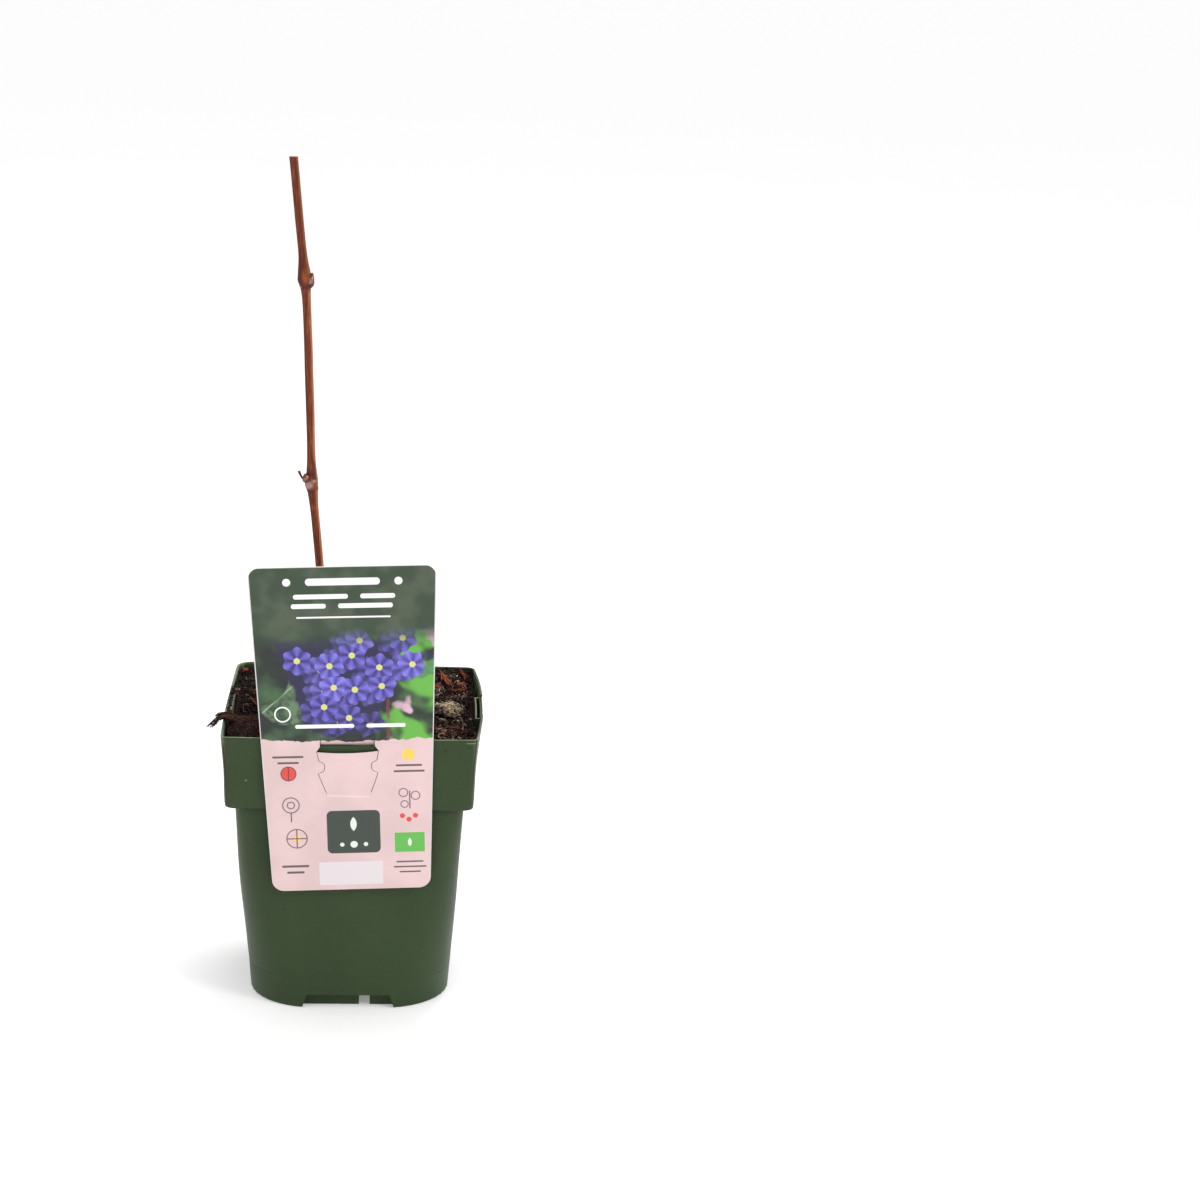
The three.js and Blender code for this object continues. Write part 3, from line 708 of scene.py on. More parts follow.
class Print:
    """Masks of flat shapes on the card, placed by its own u and w in millimetres from the hook."""

    def __init__(self, paint, u, w):
        self.paint, self.u, self.w = paint, u, w
        self.plane = paint.vector(u, w, 0.0)

    def cloud(self, cell, detail=2.0, rough=0.5, bend=0.0):
        return self.paint.noise(self.plane, cell, detail, rough, bend)

    def disc(self, u, w, radius, soft=0.25):
        far = ((self.u - u) ** 2 + (self.w - w) ** 2).math("SQRT")
        return far.over(radius + soft / 2, radius - soft / 2)

    def bar(self, u, w, half_u, half_w, round_by=0.8, soft=0.25):
        """A rectangle with rounded corners."""
        du = (abs(self.u - u) - (half_u - round_by)).most(0.0)
        dw = (abs(self.w - w) - (half_w - round_by)).most(0.0)
        far = (du ** 2 + dw ** 2).math("SQRT")
        return far.over(round_by + soft / 2, round_by - soft / 2)

    def ring(self, u, w, radius, line=0.45):
        return self.disc(u, w, radius) * (1 - self.disc(u, w, radius - line))

    def blade(self, u, w, size):
        """A leaf: where two discs overlap."""
        return self.disc(u - size * 0.7, w, size) * self.disc(u + size * 0.7, w, size)


def any_of(*masks):
    """The largest of the masks."""
    total = masks[0]
    for mask in masks[1:]:
        total = total.most(mask)
    return total


def each(shape, *places):
    """One shape at several places."""
    return any_of(*(shape(*place) for place in places))


def flower_layer(tints, art, size, shift, depth):
    """One layer of flowers: its mask and its colours. Each cell of a Voronoi pattern is a flower with
    six lobes round its heart. A lower depth makes the layer darker."""
    p, u, w = art.paint, art.u, art.w
    spot = p.vector(u + shift, w + shift * 0.6, 0.0)

    def cells(out):
        return p.node("ShaderNodeTexVoronoi", {"voronoi_dimensions": "2D", "feature": "F1"}, {
            "Vector": spot, "Scale": 1 / size, "Randomness": 0.62}, out)

    heart = p.split(cells("Position"))
    heart_u, heart_w = heart[0] - shift, heart[1] - shift * 0.6
    far = cells("Distance") / 0.56
    tint = p.split(cells("Color"))[0]
    around = (w - heart_w).math("ARCTAN2", u - heart_u) * 6 + tint * 9
    lobe = around.math("COSINE") * 0.5 + 0.5
    tone = lobe * 0.55 + far * 0.35 + (tint - 0.5) * 0.5
    skin = p.blend(tone.over(0.05, 0.75), shade(rgb(50, 42, 112), depth), shade(tints.petal, depth))
    skin = p.blend(tone.over(0.62, 1.05) * 0.6 * depth, skin, rgb(142, 134, 226))
    skin = p.blend(far.over(0.24, 0.18), skin, shade(rgb(206, 204, 120), depth))
    inner = 10.5 + (heart_w - 4) * 0.36 + (tint - 0.5) * 3
    crowd = (inner - abs(heart_u + 2)).over(0, 0.1) * heart_w.over(7.0, 7.1) * (46 - heart_w).over(0, 0.1)
    stray = (7.0 - abs(heart_u - 25)).over(0, 0.1) * heart_w.over(31, 31.1)
    reach = 0.80 + 0.20 * lobe
    return (reach - far).over(-0.03, 0.03) * crowd.most(stray), skin


def flower_picture(tints, art):
    """The card's picture: a dark garden blur, a stem, a leaf, and violet flowers that crowd upward."""
    p, u, w = art.paint, art.u, art.w
    blur, lit = art.cloud(13), art.cloud(17, bend=0.6)
    scene = p.ramp(blur, (0.32, rgb(18, 16, 26)), (0.50, rgb(26, 40, 28)), (0.68, rgb(60, 90, 58)))
    scene = p.blend(u.over(6, 22) * lit.over(0.40, 0.54), scene, tuple(tints.leaf))
    scene = p.blend(u.over(10, 26) * art.cloud(11).over(0.56, 0.66), scene, rgb(206, 168, 186))
    stem = art.bar(17, 22, 0.7, 19, 0.6, 0.8) * art.cloud(6, 1).over(0.3, 0.5)
    scene = p.blend(stem * 0.8, scene, rgb(112, 50, 62))
    vein = abs((w - 24) - (u + 24) * 0.9).over(0.7, 0.2)
    leaf = art.disc(-24, 22, 12.5, 1.2) * (1 - art.disc(-35, 30, 12, 1.0))
    green = p.blend(art.cloud(5, 3).over(0.4, 0.6), rgb(40, 66, 44), rgb(92, 118, 88))
    scene = p.blend(leaf, scene, p.blend(vein * 0.7, green, rgb(150, 172, 138)))
    thick = 13.0 + (w - 4) * 0.36 - abs(u + 2) + (art.cloud(6) - 0.5) * 9
    scene = p.blend(thick.over(-1, 1.5) * w.over(4, 7) * w.over(48, 44), scene, rgb(30, 26, 62))
    for size, shift, depth in ((11.6, 6.1, 0.34), (11.2, 3.7, 0.62), (11.0, 0.0, 1.0)):
        mask, skin = flower_layer(tints, art, size, shift, depth)
        scene = p.blend(mask, scene, skin)
    return scene


def band_print(tints, art, picture):
    """The picture with a dark band over it, and plain pale bars and a ring on the two."""
    p = art.paint
    band = p.blend(art.cloud(15).over(0.42, 0.62) * 0.5, tuple(tints.band), rgb(86, 96, 78))
    picture = p.blend(art.w.over(40, 52), picture, band)
    heads = each(art.bar, (0, 70.4, 15, 1.5, 1.4), (-22.5, 70.4, 1.6, 1.6, 1.5),
                 (22.5, 70.4, 1.6, 1.6, 1.5))
    rows = each(art.bar, (-9, 64.2, 11, 1.0, 0.9), (14, 64.2, 7, 1.0, 0.9), (-14, 60.2, 7, 1.0, 0.9),
                (9, 60.2, 11, 1.0, 0.9), (0, 55.4, 19, 0.35, 0.3))
    small = any_of(each(art.bar, (-9, 8.6, 12, 0.8, 0.7), (16, 8.6, 8, 0.8, 0.7)),
                   art.ring(-26, 14, 3.4, 0.6))
    return p.blend(any_of(heads, rows, small) * 0.94, picture, rgb(240, 240, 236))


def sign_print(art, paper):
    """The paper with its small signs: discs, rings and bars, a leaf on a plate and on a field, and a
    bare panel."""
    p = art.paint
    yellow = each(art.disc, (24.8, -4.4, 2.6), (-22, -41, 1.3))
    red = each(art.disc, (-24.5, -12, 3.1), (24.5, -33.5, 1.1), (21.8, -31.8, 1.1), (27.2, -31.8, 1.1))
    rings = each(art.ring, (-24.5, -12, 3.3, 0.4), (-24, -26, 3.6), (-24, -26, 1.7), (-22, -41, 4.4),
                 (22.4, -21.4, 2.0, 0.4), (27.4, -22.8, 2.0, 0.4), (22.8, -26.6, 1.7, 0.4))
    bars = each(
        art.bar, (-24.5, -4.6, 6.4, 0.45, 0.4), (-24.5, -7.2, 4.4, 0.45, 0.4),
        (25, -9.2, 5.4, 0.45, 0.4), (25, -11.8, 6.4, 0.45, 0.4), (-24.5, -12, 0.2, 3.1, 0.15),
        (-24, -31.4, 0.25, 2.2, 0.2), (-22, -41, 4.2, 0.25, 0.2), (-22, -41, 0.25, 4.2, 0.2),
        (25, -24.6, 0.25, 4.0, 0.2), (-23, -53.5, 5.6, 0.5, 0.4), (-23, -56.3, 3.6, 0.5, 0.4),
        (24.5, -52.6, 5.6, 0.35, 0.3), (24.5, -54.9, 6.8, 0.35, 0.3), (24.5, -57.2, 4.4, 0.35, 0.3))
    front = p.blend(yellow * 0.9, paper, rgb(240, 196, 52))
    front = p.blend(red * 0.95, front, rgb(206, 56, 44))
    front = p.blend(any_of(rings, bars) * 0.88, front, rgb(58, 46, 44))
    front = p.blend(art.bar(1.5, -38.5, 11.0, 9.6, 2.2), front, rgb(50, 60, 52))
    dots = each(art.disc, (1.5, -44.2, 1.5), (-3.4, -44.2, 0.9), (6.4, -44.2, 0.9))
    front = p.blend(any_of(art.blade(1.5, -35, 4.4), dots) * 0.9, front, rgb(226, 230, 220))
    front = p.blend(art.bar(24.6, -43.8, 6.2, 4.4, 0.3), front, rgb(92, 172, 72))
    front = p.blend(art.blade(24.6, -43.8, 2.6) * 0.9, front, rgb(236, 246, 230))
    return p.blend(art.bar(0, -57.2, 13.2, 5.2, 0.3), front, rgb(212, 203, 206))


def card_finish(tints, place, card):
    """Printed card: a dark band and a picture above a ragged line, pale paper with small signs below
    it, a pale cut edge, a crease under the tongue, and a plain back."""
    p = Paint("card_print")
    x, _, z = p.split(p.place())
    c, s = math.cos(place.tilt), math.sin(place.tilt)
    right, up = x - place.hook_x, z - place.hook_z
    art = Print(p, right * c + up * s, up * c - right * s)
    u, w = art.u, art.w
    fold, pulp = art.cloud(22, 3), art.cloud(0.5)
    paper = p.blend(fold.over(0.35, 0.65), shade(tints.paper, 0.93), shade(tints.paper, 1.03))
    picture = band_print(tints, art, flower_picture(tints, art))
    ragged = 1.6 + (art.cloud(5.5, 3, 0.6) - 0.5) * 4.2 + abs(u) * 0.035
    face = p.blend((w - ragged).over(-0.15, 0.15), sign_print(art, paper), picture)
    slope = (card.half_top - card.half_bottom) / (card.top + card.bottom)
    side = (w + card.bottom) * slope + card.half_bottom - abs(u)
    face = p.blend(side.over(0.44, 0.28).most((card.top - w).over(0.34, 0.18)), face, rgb(206, 204, 202))
    crease = abs(w + 22.5 + u * 0.05).over(0.5, 0.1) * (9 - abs(u)).over(0, 1)
    face = p.blend(crease * 0.3, face, rgb(250, 240, 238))
    back = p.blend(pulp.over(0.3, 0.7), rgb(206, 200, 190), rgb(226, 221, 212))
    base = p.blend(p.mark("front"), back, face)
    rough = 0.30 + pulp * 0.10 + (1 - p.mark("front")) * 0.35
    return p.finish(base, rough, fold * 0.35 + pulp * 0.006 - crease * 0.05, IOR=1.48)


def floor_finish(tints):
    """Matt pale floor with a faint cloudiness and a faint light of its own."""
    p = Paint("studio_floor")
    cloud = p.noise(p.place(), 260, 3)
    base = p.blend(cloud, shade(tints.floor, 0.99), tuple(tints.floor))
    return p.finish(base, 0.85 + cloud * 0.1, Emission_Color=(1.0, 1.0, 1.0, 1.0),
                    Emission_Strength=0.24)


# Pot

# points along each corner and each side of a ring
CORNER_STEPS, SIDE_STEPS = 10, 28
# how far the middle of each rim side bulges: front, right, back, left
BOWS = np.array([0.8, 2.9, 1.3, 0.8])
# on the same sides: shift of the pocket, width of its slot, dip of the outer wall, drop of the
# inner wall
POCKETS = np.array([(0, 2, 3, 0.15), (-3, 1.4, 1.9, 1.7), (0, 2, 3, 0.15), (-1, 1.1, 0.6, 0.4)])
# how much rounder the collar is at its corners: back right, back left, front left, front right
ROUNDER = np.array([1.5, 2.7, 1.0, 1.0])
# how far the rim's back left corner is drawn back, and how far it is raised
CORNER_BACK, CORNER_UP = 1.4, 0.8


def corner_pull(x, y):
    """A mask of the rim's back left corner, which is drawn out."""
    return ease(18, 50, -x) * ease(18, 50, y)


def body_level(pot, z):
    """Half width, corner radius and bow share of the body at a height: straight tapers."""
    t = z / pot.shoulder
    return (lerp(pot.base_width, pot.shoulder_width, t) / 2,
            lerp(pot.base_corner, pot.shoulder_corner, t), 0 * t)


def collar_level(pot, z):
    """The same of the collar, whose bow grows towards the rim."""
    t = (z - pot.shoulder) / (pot.height - pot.shoulder)
    return lerp(pot.collar_width, pot.rim_width, t) / 2, pot.rim_corner + 0 * t, np.clip(t, 0, 1)


def square_rings(z, half, corner, share):
    """Rings round squares with rounded corners: each quarter is a corner arc and then a side that
    bulges by share x bow x (1 - way²), with way from 1 to -1 along it."""
    steps = CORNER_STEPS + SIDE_STEPS
    n = np.arange(4 * steps)
    turn = np.pi / 2 * np.minimum(n % steps / CORNER_STEPS, 1)
    along = np.maximum(n % steps - CORNER_STEPS, 0) / SIDE_STEPS
    way = 1 - 2 * along
    z, half, corner, share = (np.asarray(v, float)[:, None] for v in (z, half, corner, share))
    part = n // steps
    start = corner * lerp(1, ROUNDER[part], share)
    end = corner * lerp(1, ROUNDER[(part + 1) % 4], share)
    x = lerp(half - start, end - half, along) + start * np.where(along > 0, 0, np.cos(turn))
    bow = BOWS[(part + 2) % 4]
    y = half - start * (1 - np.sin(turn)) + share * bow * (1 - way ** 2)
    c, s = np.cos(part * np.pi / 2), np.sin(part * np.pi / 2)
    return np.stack([x * c - y * s, x * s + y * c, z + 0 * x], -1)


def pot_shell(pot, details):
    """The pot without its pockets and hollows, as a profile carried round bowed squares: foot,
    scored line, body, ledge, collar, rim, and back down inside to the floor."""
    arc = np.linspace(0, np.pi / 2, 5)
    foot_round, ledge_round, edge_round, lip, fall, sharpest = 0.9, 0.6, 1.0, 0.30, 0.25, 0.6
    level = []

    def rows(form, z, inset=0.0):
        z = np.asarray(z, float)
        half, corner, share = form(pot, z)
        level.append(np.stack([z, half - inset, np.maximum(corner - inset, sharpest), share], -1))

    rows(body_level, foot_round * (1 - np.cos(arc)), foot_round * (1 - np.sin(arc)))
    rows(body_level, [2.5, 5, 8, 11])
    groove = np.array([-1.4, -0.55, -0.3, -0.1, 0.1, 0.3, 0.55, 1.4])
    rows(body_level, details.score_height + groove,
         details.score_depth * np.exp(-(groove / 0.26) ** 2))
    rows(body_level, np.linspace(18, pot.shoulder - 1.2, 20))
    half, corner, _ = body_level(pot, pot.shoulder)
    outer, outer_corner, _ = collar_level(pot, pot.shoulder)
    level.append(np.stack([pot.shoulder - ledge_round + ledge_round * np.sin(arc),
                           half + ledge_round * (1 - np.cos(arc)), corner + 0 * arc, 0 * arc], -1))
    level.append(np.stack([pot.shoulder + edge_round * (1 - np.cos(arc)),
                           outer - edge_round * (1 - np.sin(arc)),
                           outer_corner + ledge_round * np.cos(arc), 0 * arc], -1))
    rows(collar_level, np.linspace(pot.shoulder + 2.5, pot.height - 1.5, 13))
    rows(collar_level, pot.height - lip * (1 - np.sin(arc)), lip * (1 - np.cos(arc)))
    rows(collar_level, pot.height - fall - lip * (1 - np.cos(arc)), pot.wall - lip * (1 - np.sin(arc)))
    rows(collar_level, np.linspace(pot.height - 2, pot.shoulder + pot.wall, 10), pot.wall)
    rows(body_level, np.linspace(pot.shoulder + pot.wall - 0.4, pot.floor, 12), pot.wall)
    z, half, corner, share = np.concatenate(level).T
    rings = square_rings(z, half, corner, share)
    # the collar's lower edge and the body's sides are a little fuller than straight: millimetres
    # at 48 from the middle
    edge = 0.7 * ease(112, 93, z) * (half > pot.shoulder_width / 2 + 1.2)
    left, right = 0.9 * np.exp(-((z - 58) / 22) ** 2), 0.38 * np.exp(-((z - 45) / 20) ** 2)
    fuller = np.where(rings[..., 0] < 0, (edge + left)[:, None], (edge + right)[:, None])
    rings[..., 0] *= 1 + fuller / 48
    # the scored line falls a little to the right, and the walls wander
    scored = np.exp(-((z - details.score_height) / 2.2) ** 4)[:, None]
    rings[..., 2] -= 0.0165 * rings[..., 0] * scored * (np.abs(z - details.score_height) < 2)[:, None]
    away = unit(rings * np.array([1, 1, 0]))
    rings += away * (0.16 * layered(rings, 30, 2, 3))[..., None] * ease(0, 8, z)[:, None, None]
    pull = corner_pull(rings[..., 0], rings[..., 1]) * ease(pot.shoulder + 4, pot.height, rings[..., 2])
    rings[..., 1] += CORNER_BACK * pull
    rings[..., 2] += CORNER_UP * pull * ease(pot.height - 12, pot.height - 2, z)[:, None]
    return tube(rings)


def wall_block(pot, side, half_length, outer, inner, low, high):
    """A block that follows one side of the collar, between two insets and two heights."""
    s = np.linspace(-half_length, half_length, 25) + POCKETS[side, 0]
    ring = []
    for inset, z in ((outer, low), (outer, high), (inner, high), (inner, low)):
        half, corner, share = collar_level(pot, z)
        bow = share * BOWS[side] * (1 - (s / (half - corner)) ** 2)
        ring.append(np.stack([s, -(half - inset + bow), z + 0 * s], -1))
    return quarter(tube(np.stack(ring, 1)), side)


def make_pot(pot, details):
    """The shell with blocks for its pockets, cut by the pockets, the dips of their outer walls, the
    foot's notches, the drain channels and the drain holes."""
    slots = pot.wall + POCKETS[:, 1]
    low = pot.height - details.pocket_depth
    half, reach = pot.base_width / 2, details.pocket_half
    ring_y = -(half - details.notch_inset)
    top, foot = details.notch_half, details.notch_half + details.notch_flare
    notch = prism([(-foot, -1), (foot, -1), (foot, 0), (top, details.notch_height),
                   (-top, details.notch_height), (-foot, 0)], -half - 4, ring_y)
    mid, wide, high = details.channel_offset, details.channel_half, details.channel_height
    channel = prism([(mid - wide, -1), (mid + wide, -1), (mid + wide, high), (mid - wide, high)],
                    ring_y - 0.5, -12)
    turn, drain_y = 2 * np.pi * np.arange(28) / 28, -15
    hole_x = mid + details.drain_radius * np.cos(turn)
    hole_y = drain_y + details.drain_radius * np.sin(turn)
    drain = tube(np.stack([np.stack([hole_x, hole_y, 0 * turn + z], -1) for z in (1.0, 12.0)]))

    def blocks(sizes):
        return joined([wall_block(pot, side, *sizes(side)) for side in range(4)])

    def around(solid):
        return joined([quarter(solid, side) for side in range(4)])

    return carve(pot_shell(pot, details), [
        ("UNION", blocks(lambda k: (
            reach + details.pocket_wall, pot.wall / 2, slots[k] + details.pocket_wall,
            low - details.pocket_wall, pot.height - POCKETS[k, 3]))),
        ("DIFFERENCE", blocks(lambda k: (reach, pot.wall, slots[k], low, pot.height + 2))),
        ("DIFFERENCE", blocks(lambda k: (
            reach, -4, slots[k], pot.height - POCKETS[k, 2], pot.height + 2))),
        ("DIFFERENCE", around(notch)),
        ("DIFFERENCE", around(channel)),
        ("DIFFERENCE", around(drain)),
    ])


# Peat

# x and y of the cane's foot
SOIL_FOOT = np.array([-8.4, -3.0])
# points along each side of the peat's grid
SOIL_POINTS = 263


def soil_height(soil, x, y):
    """Level round the cane, rising to the back, with two crossing waves, heaped against the back
    wall (save its right corner) and the left wall."""
    away = np.clip((np.hypot(x - SOIL_FOOT[0], y - SOIL_FOOT[1]) - 5) / 12, 0, 1)
    waves = (np.sin(0.21 * x + 0.6) * np.cos(0.17 * y - 0.4)
             + 0.6 * np.sin(0.37 * y + 0.29 * x + 1.1))
    back = ease(26, 46, y) * (1 - 0.75 * ease(38, 49, x))
    left = ease(34, 46, -x) * ease(-14, 4, y)
    height = soil.level + away * (soil.rise * y / 50 + soil.waves * waves)
    return under(height + soil.bank * np.maximum(back, left), soil.top)


def under(height, top, soft=0.25):
    """Heights held under a top, with a soft bend: top - soft ln(1 + exp((top - height) / soft))."""
    return top - soft * np.logaddexp(0, (top - height) / soft)


def soil_relief(soil, x, y):
    """Relief of the peat: coarse lumps, sharp crests and fine grain, lower round the cane."""
    at = flat(x, y)
    coarse = layered(at, 7.5, 2, 11)
    lumps = 1 - np.abs(noise(at, 3.1, 17)) * 2
    fine = layered(at, 1.3, 3, 23)
    calm = ease(2.0, 9.0, np.hypot(x - SOIL_FOOT[0], y - SOIL_FOOT[1]))
    return soil.relief * (0.40 * coarse + 0.42 * lumps + 0.52 * fine) * (0.5 + 0.5 * calm)


def outline_reach(turn, half, corner):
    """Distance from the middle to a rounded square's edge in each direction: its straight side,
    or its corner arc where the side has ended."""
    c, s = np.abs(np.cos(turn)), np.abs(np.sin(turn))
    side = half / np.maximum(c, s)
    middle = half - corner
    along = middle * (c + s)
    arc = along + np.sqrt(np.maximum(along ** 2 - 2 * middle ** 2 + corner ** 2, 0))
    return np.where(side * np.minimum(c, s) > middle, arc, side)


def soil_top(pot, details, u, v):
    """Maps the square -1..1 onto the pot's mouth: a point's square distance from the middle is its
    share of the way out, and the outer fifth also steps in at the four pockets."""
    turn = np.arctan2(v, u)
    c, s = np.cos(turn), np.sin(turn)
    share = np.maximum(np.abs(u), np.abs(v))
    half, corner, bow = collar_level(pot, pot.height - 5.0)
    rounder = (s > 0) * lerp(ROUNDER[1], ROUNDER[0], c > 0)
    reach = outline_reach(turn, half - pot.wall - 0.25, corner * np.maximum(rounder, 1))
    side = np.array([1, 2, 3, 0])[np.floor(((turn + np.pi / 4) / (np.pi / 2)) + 4).astype(int) % 4]
    off = np.minimum(np.abs(c), np.abs(s)) * reach
    bulge = bow * BOWS[side] * np.clip(1 - (off / (half - corner)) ** 2, 0, 1)
    along = reach * np.choose(side, [c, s, -c, -s])
    step = (POCKETS[side, 1] + details.pocket_wall) * ease(
        details.pocket_half + 1.7, details.pocket_half + 1.0, np.abs(along - POCKETS[side, 0]))
    moved = bulge - step * ease(0.8, 0.97, share)
    reach = reach + moved / np.maximum(np.abs(c), np.abs(s))
    x, y = share * reach * c, share * reach * s
    return x, y + 1.3 * corner_pull(x, y)


def make_soil(pot, details, soil):
    """A square grid mapped to the pot's mouth, with a skirt inside the walls down to the floor."""
    n = SOIL_POINTS
    u, v = np.meshgrid(np.linspace(-1, 1, n), np.linspace(-1, 1, n))
    x, y = soil_top(pot, details, u, v)
    z = soil_height(soil, x, y) + soil_relief(soil, x, y)
    z = under(z, pot.height - 0.4)
    top = np.stack([x, y, z], -1)
    index = np.arange(n * n).reshape(n, n)
    edge = np.concatenate([index[0, :-1], index[:-1, -1], index[-1, :0:-1], index[:0:-1, 0]])
    rim = top.reshape(-1, 3)[edge]
    turn = np.arctan2(rim[:, 1], rim[:, 0])
    rings = []
    for height, form in ((pot.shoulder + pot.wall + 4, collar_level), (pot.shoulder + 0.4, body_level),
                         (60, body_level), (30, body_level), (pot.floor + 0.3, body_level)):
        half, corner, _ = form(pot, height)
        reach = outline_reach(turn, half - pot.wall - 0.4 - 2.9 * (form is collar_level),
                              np.maximum(corner - 1.5, 0.6))
        rings.append(np.stack([reach * np.cos(turn), reach * np.sin(turn), height + 0 * turn], -1))
    skirt = np.concatenate(rings)
    count, total = len(edge), n * n
    lines = np.concatenate([edge[None], total + np.arange(len(skirt)).reshape(-1, count)])
    after = np.roll(lines, -1, axis=1)
    walls = np.stack([lines[:-1], after[:-1], after[1:], lines[1:]], -1).reshape(-1, 4)
    pole = total + len(skirt)
    floor = np.stack([np.full(count, pole), lines[-1], after[-1]], -1)
    points = np.concatenate([top.reshape(-1, 3), skirt, [[0, 0, pot.floor + 0.3]]])
    return to_mesh("soil", outward(points, [grid(n, n), walls[:, ::-1], floor[:, ::-1]]))


def painted_wall_shade(x):
    """Painted shade: loose bits are darker towards the left, under the left wall."""
    return lerp(0.66, 1, ease(-36, 10, x))


def spread_on(pot, details, count, rng, limit=0.985):
    """Random places on the peat."""
    u, v = rng.uniform(-limit, limit, (2, count))
    return soil_top(pot, details, u, v)


def bits(shape, places, sizes, rng, rough=0.3):
    """Copies of a small ball, each scaled, dented and turned its own way."""
    points, faces = shape
    count = len(places)
    dented = points[None] * (1 + rough * rng.uniform(-1, 1, (count, len(points), 1)))
    dented = dented * (sizes[:, None] * rng.uniform(0.6, 1.35, (count, 3)))[:, None]
    turns = turned(unit(rng.normal(size=(count, 3))), rng.uniform(0, 2 * np.pi, count))
    solids = np.einsum("nij,npj->npi", turns, dented) + places[:, None]
    return copies(solids, faces)


def make_crumbs(pot, details, soil, counts):
    """Small crumbs and larger lumps on the peat, each with a tone of its own, and crumbs spilled
    into and over the left pocket."""
    rng = np.random.default_rng(5)
    parts, tones = [], []
    small, large = ball(1), ball(2)
    for shape, count, scale, pale in ((small, counts.crumbs, 1.0, 1.0), (large, counts.lumps, 1.5, 0.8)):
        x, y = spread_on(pot, details, count, rng)
        size = soil.crumb * scale * rng.uniform(0.32, 1.0, count) ** 1.6
        at_cane = np.hypot(x - SOIL_FOOT[0], y - SOIL_FOOT[1]) < 3.2
        size = np.where(at_cane, size * 0.4, size)
        z = soil_height(soil, x, y) + soil_relief(soil, x, y) + 0.25 * size
        z = under(z, pot.height - 0.1)
        parts.append(bits(shape, np.stack([x, y, z], -1), size, rng))
        # painted shade towards the left wall
        tones.append(np.repeat(pale * painted_wall_shade(x) * rng.beta(1.5, 3.0, count), len(shape[0])))

    spilled = 230
    y = rng.uniform(-15, 19, spilled)
    x = np.where(y > 7, rng.uniform(-52.9, -49.4, spilled), rng.normal(-51.9, 0.25, spilled))
    z = pot.height - rng.uniform(0.1, 1.1, spilled) - 0.5 * (y < 7)
    parts.append(bits(small, np.stack([x, y, z], -1), rng.uniform(0.3, 0.85, spilled), rng))
    tones.append(np.repeat(rng.beta(1.6, 2.4, spilled), len(small[0])))
    mesh = to_mesh("soil_crumbs", joined(parts))
    mark(mesh, "tone", np.concatenate(tones))
    return mesh


def make_hairs(pot, details, soil, counts):
    """Loose hairs and splinters lying on the peat, clear of the walls and the pockets: short curved
    tubes."""
    rng = np.random.default_rng(8)
    count = counts.hairs
    x, y = spread_on(pot, details, count, rng, 0.93)
    way = rng.uniform(0, 2 * np.pi, count)
    reach = 1.3 + 3.6 * rng.uniform(0, 1, count) ** 2.2
    bend = rng.normal(0, 0.9, count)
    stops = []
    for t in (-1, 0, 1):
        px = x + 0.5 * reach * t * np.cos(way) + reach * bend * (1 - t * t) * -np.sin(way) * 0.4
        py = y + 0.5 * reach * t * np.sin(way) + reach * bend * (1 - t * t) * np.cos(way) * 0.4
        limit = 50.2 - 3.4 * ((np.abs(px) < 17) | (np.abs(py) < 17))
        px, py = np.clip(px, -limit, limit), np.clip(py, -limit, limit)
        pz = soil_height(soil, px, py) + soil_relief(soil, px, py) + rng.uniform(0.2, 1.1, count)
        stops.append(np.stack([px, py, np.minimum(pz, pot.height - 0.3)], -1))
    paths = curve_through(np.stack(stops, 1), 6)
    taper = np.array([0.35, 0.9, 1, 1, 0.85, 0.3])
    radii = (0.09 + 0.27 * rng.uniform(0, 1, count) ** 1.6)[:, None] * taper
    mesh = to_mesh("soil_fibres", tubes(paths, radii, 3))
    # painted shade towards the left wall
    tone = rng.beta(1.2, 1.8, count) * painted_wall_shade(x)
    mark(mesh, "tone", np.repeat(tone, tube_points(6, 3)))
    return mesh


# Cane, buds and tendril stub

# height, middle x, middle y, radius
CANE_LINE = np.array([
    [116.0, -8.15, -2.95, 1.92],
    [118.5, -8.4, -3.0, 1.90],
    [134.5, -10.2, -3.6, 1.80],
    [193.6, -15.36, -4.8, 1.73],
    [204.5, -16.32, -5.0, 1.73],
    [213.1, -17.25, -5.2, 1.74],
    [221.5, -18.05, -5.35, 1.74],
    [228.1, -18.25, -5.3, 1.72],
    [242.9, -18.60, -5.0, 1.70],
    [255.5, -19.0, -4.8, 1.79],
    [263.9, -19.33, -4.65, 1.81],
    [276.4, -19.70, -4.5, 1.80],
    [284.7, -20.05, -4.4, 1.76],
    [297.1, -20.52, -4.25, 1.76],
    [306.5, -21.25, -4.2, 1.78],
    [327.8, -23.5, -3.7, 1.77],
    [350.0, -25.63, -3.2, 1.76],
    [355.4, -26.12, -3.0, 1.77],
])
# height, swelling, reach above, reach below
CANE_NODES = ((134.5, 0.85, 3.6, 5.5), (221.5, 0.62, 6.0, 8.2), (306.5, 0.85, 5.6, 4.9))
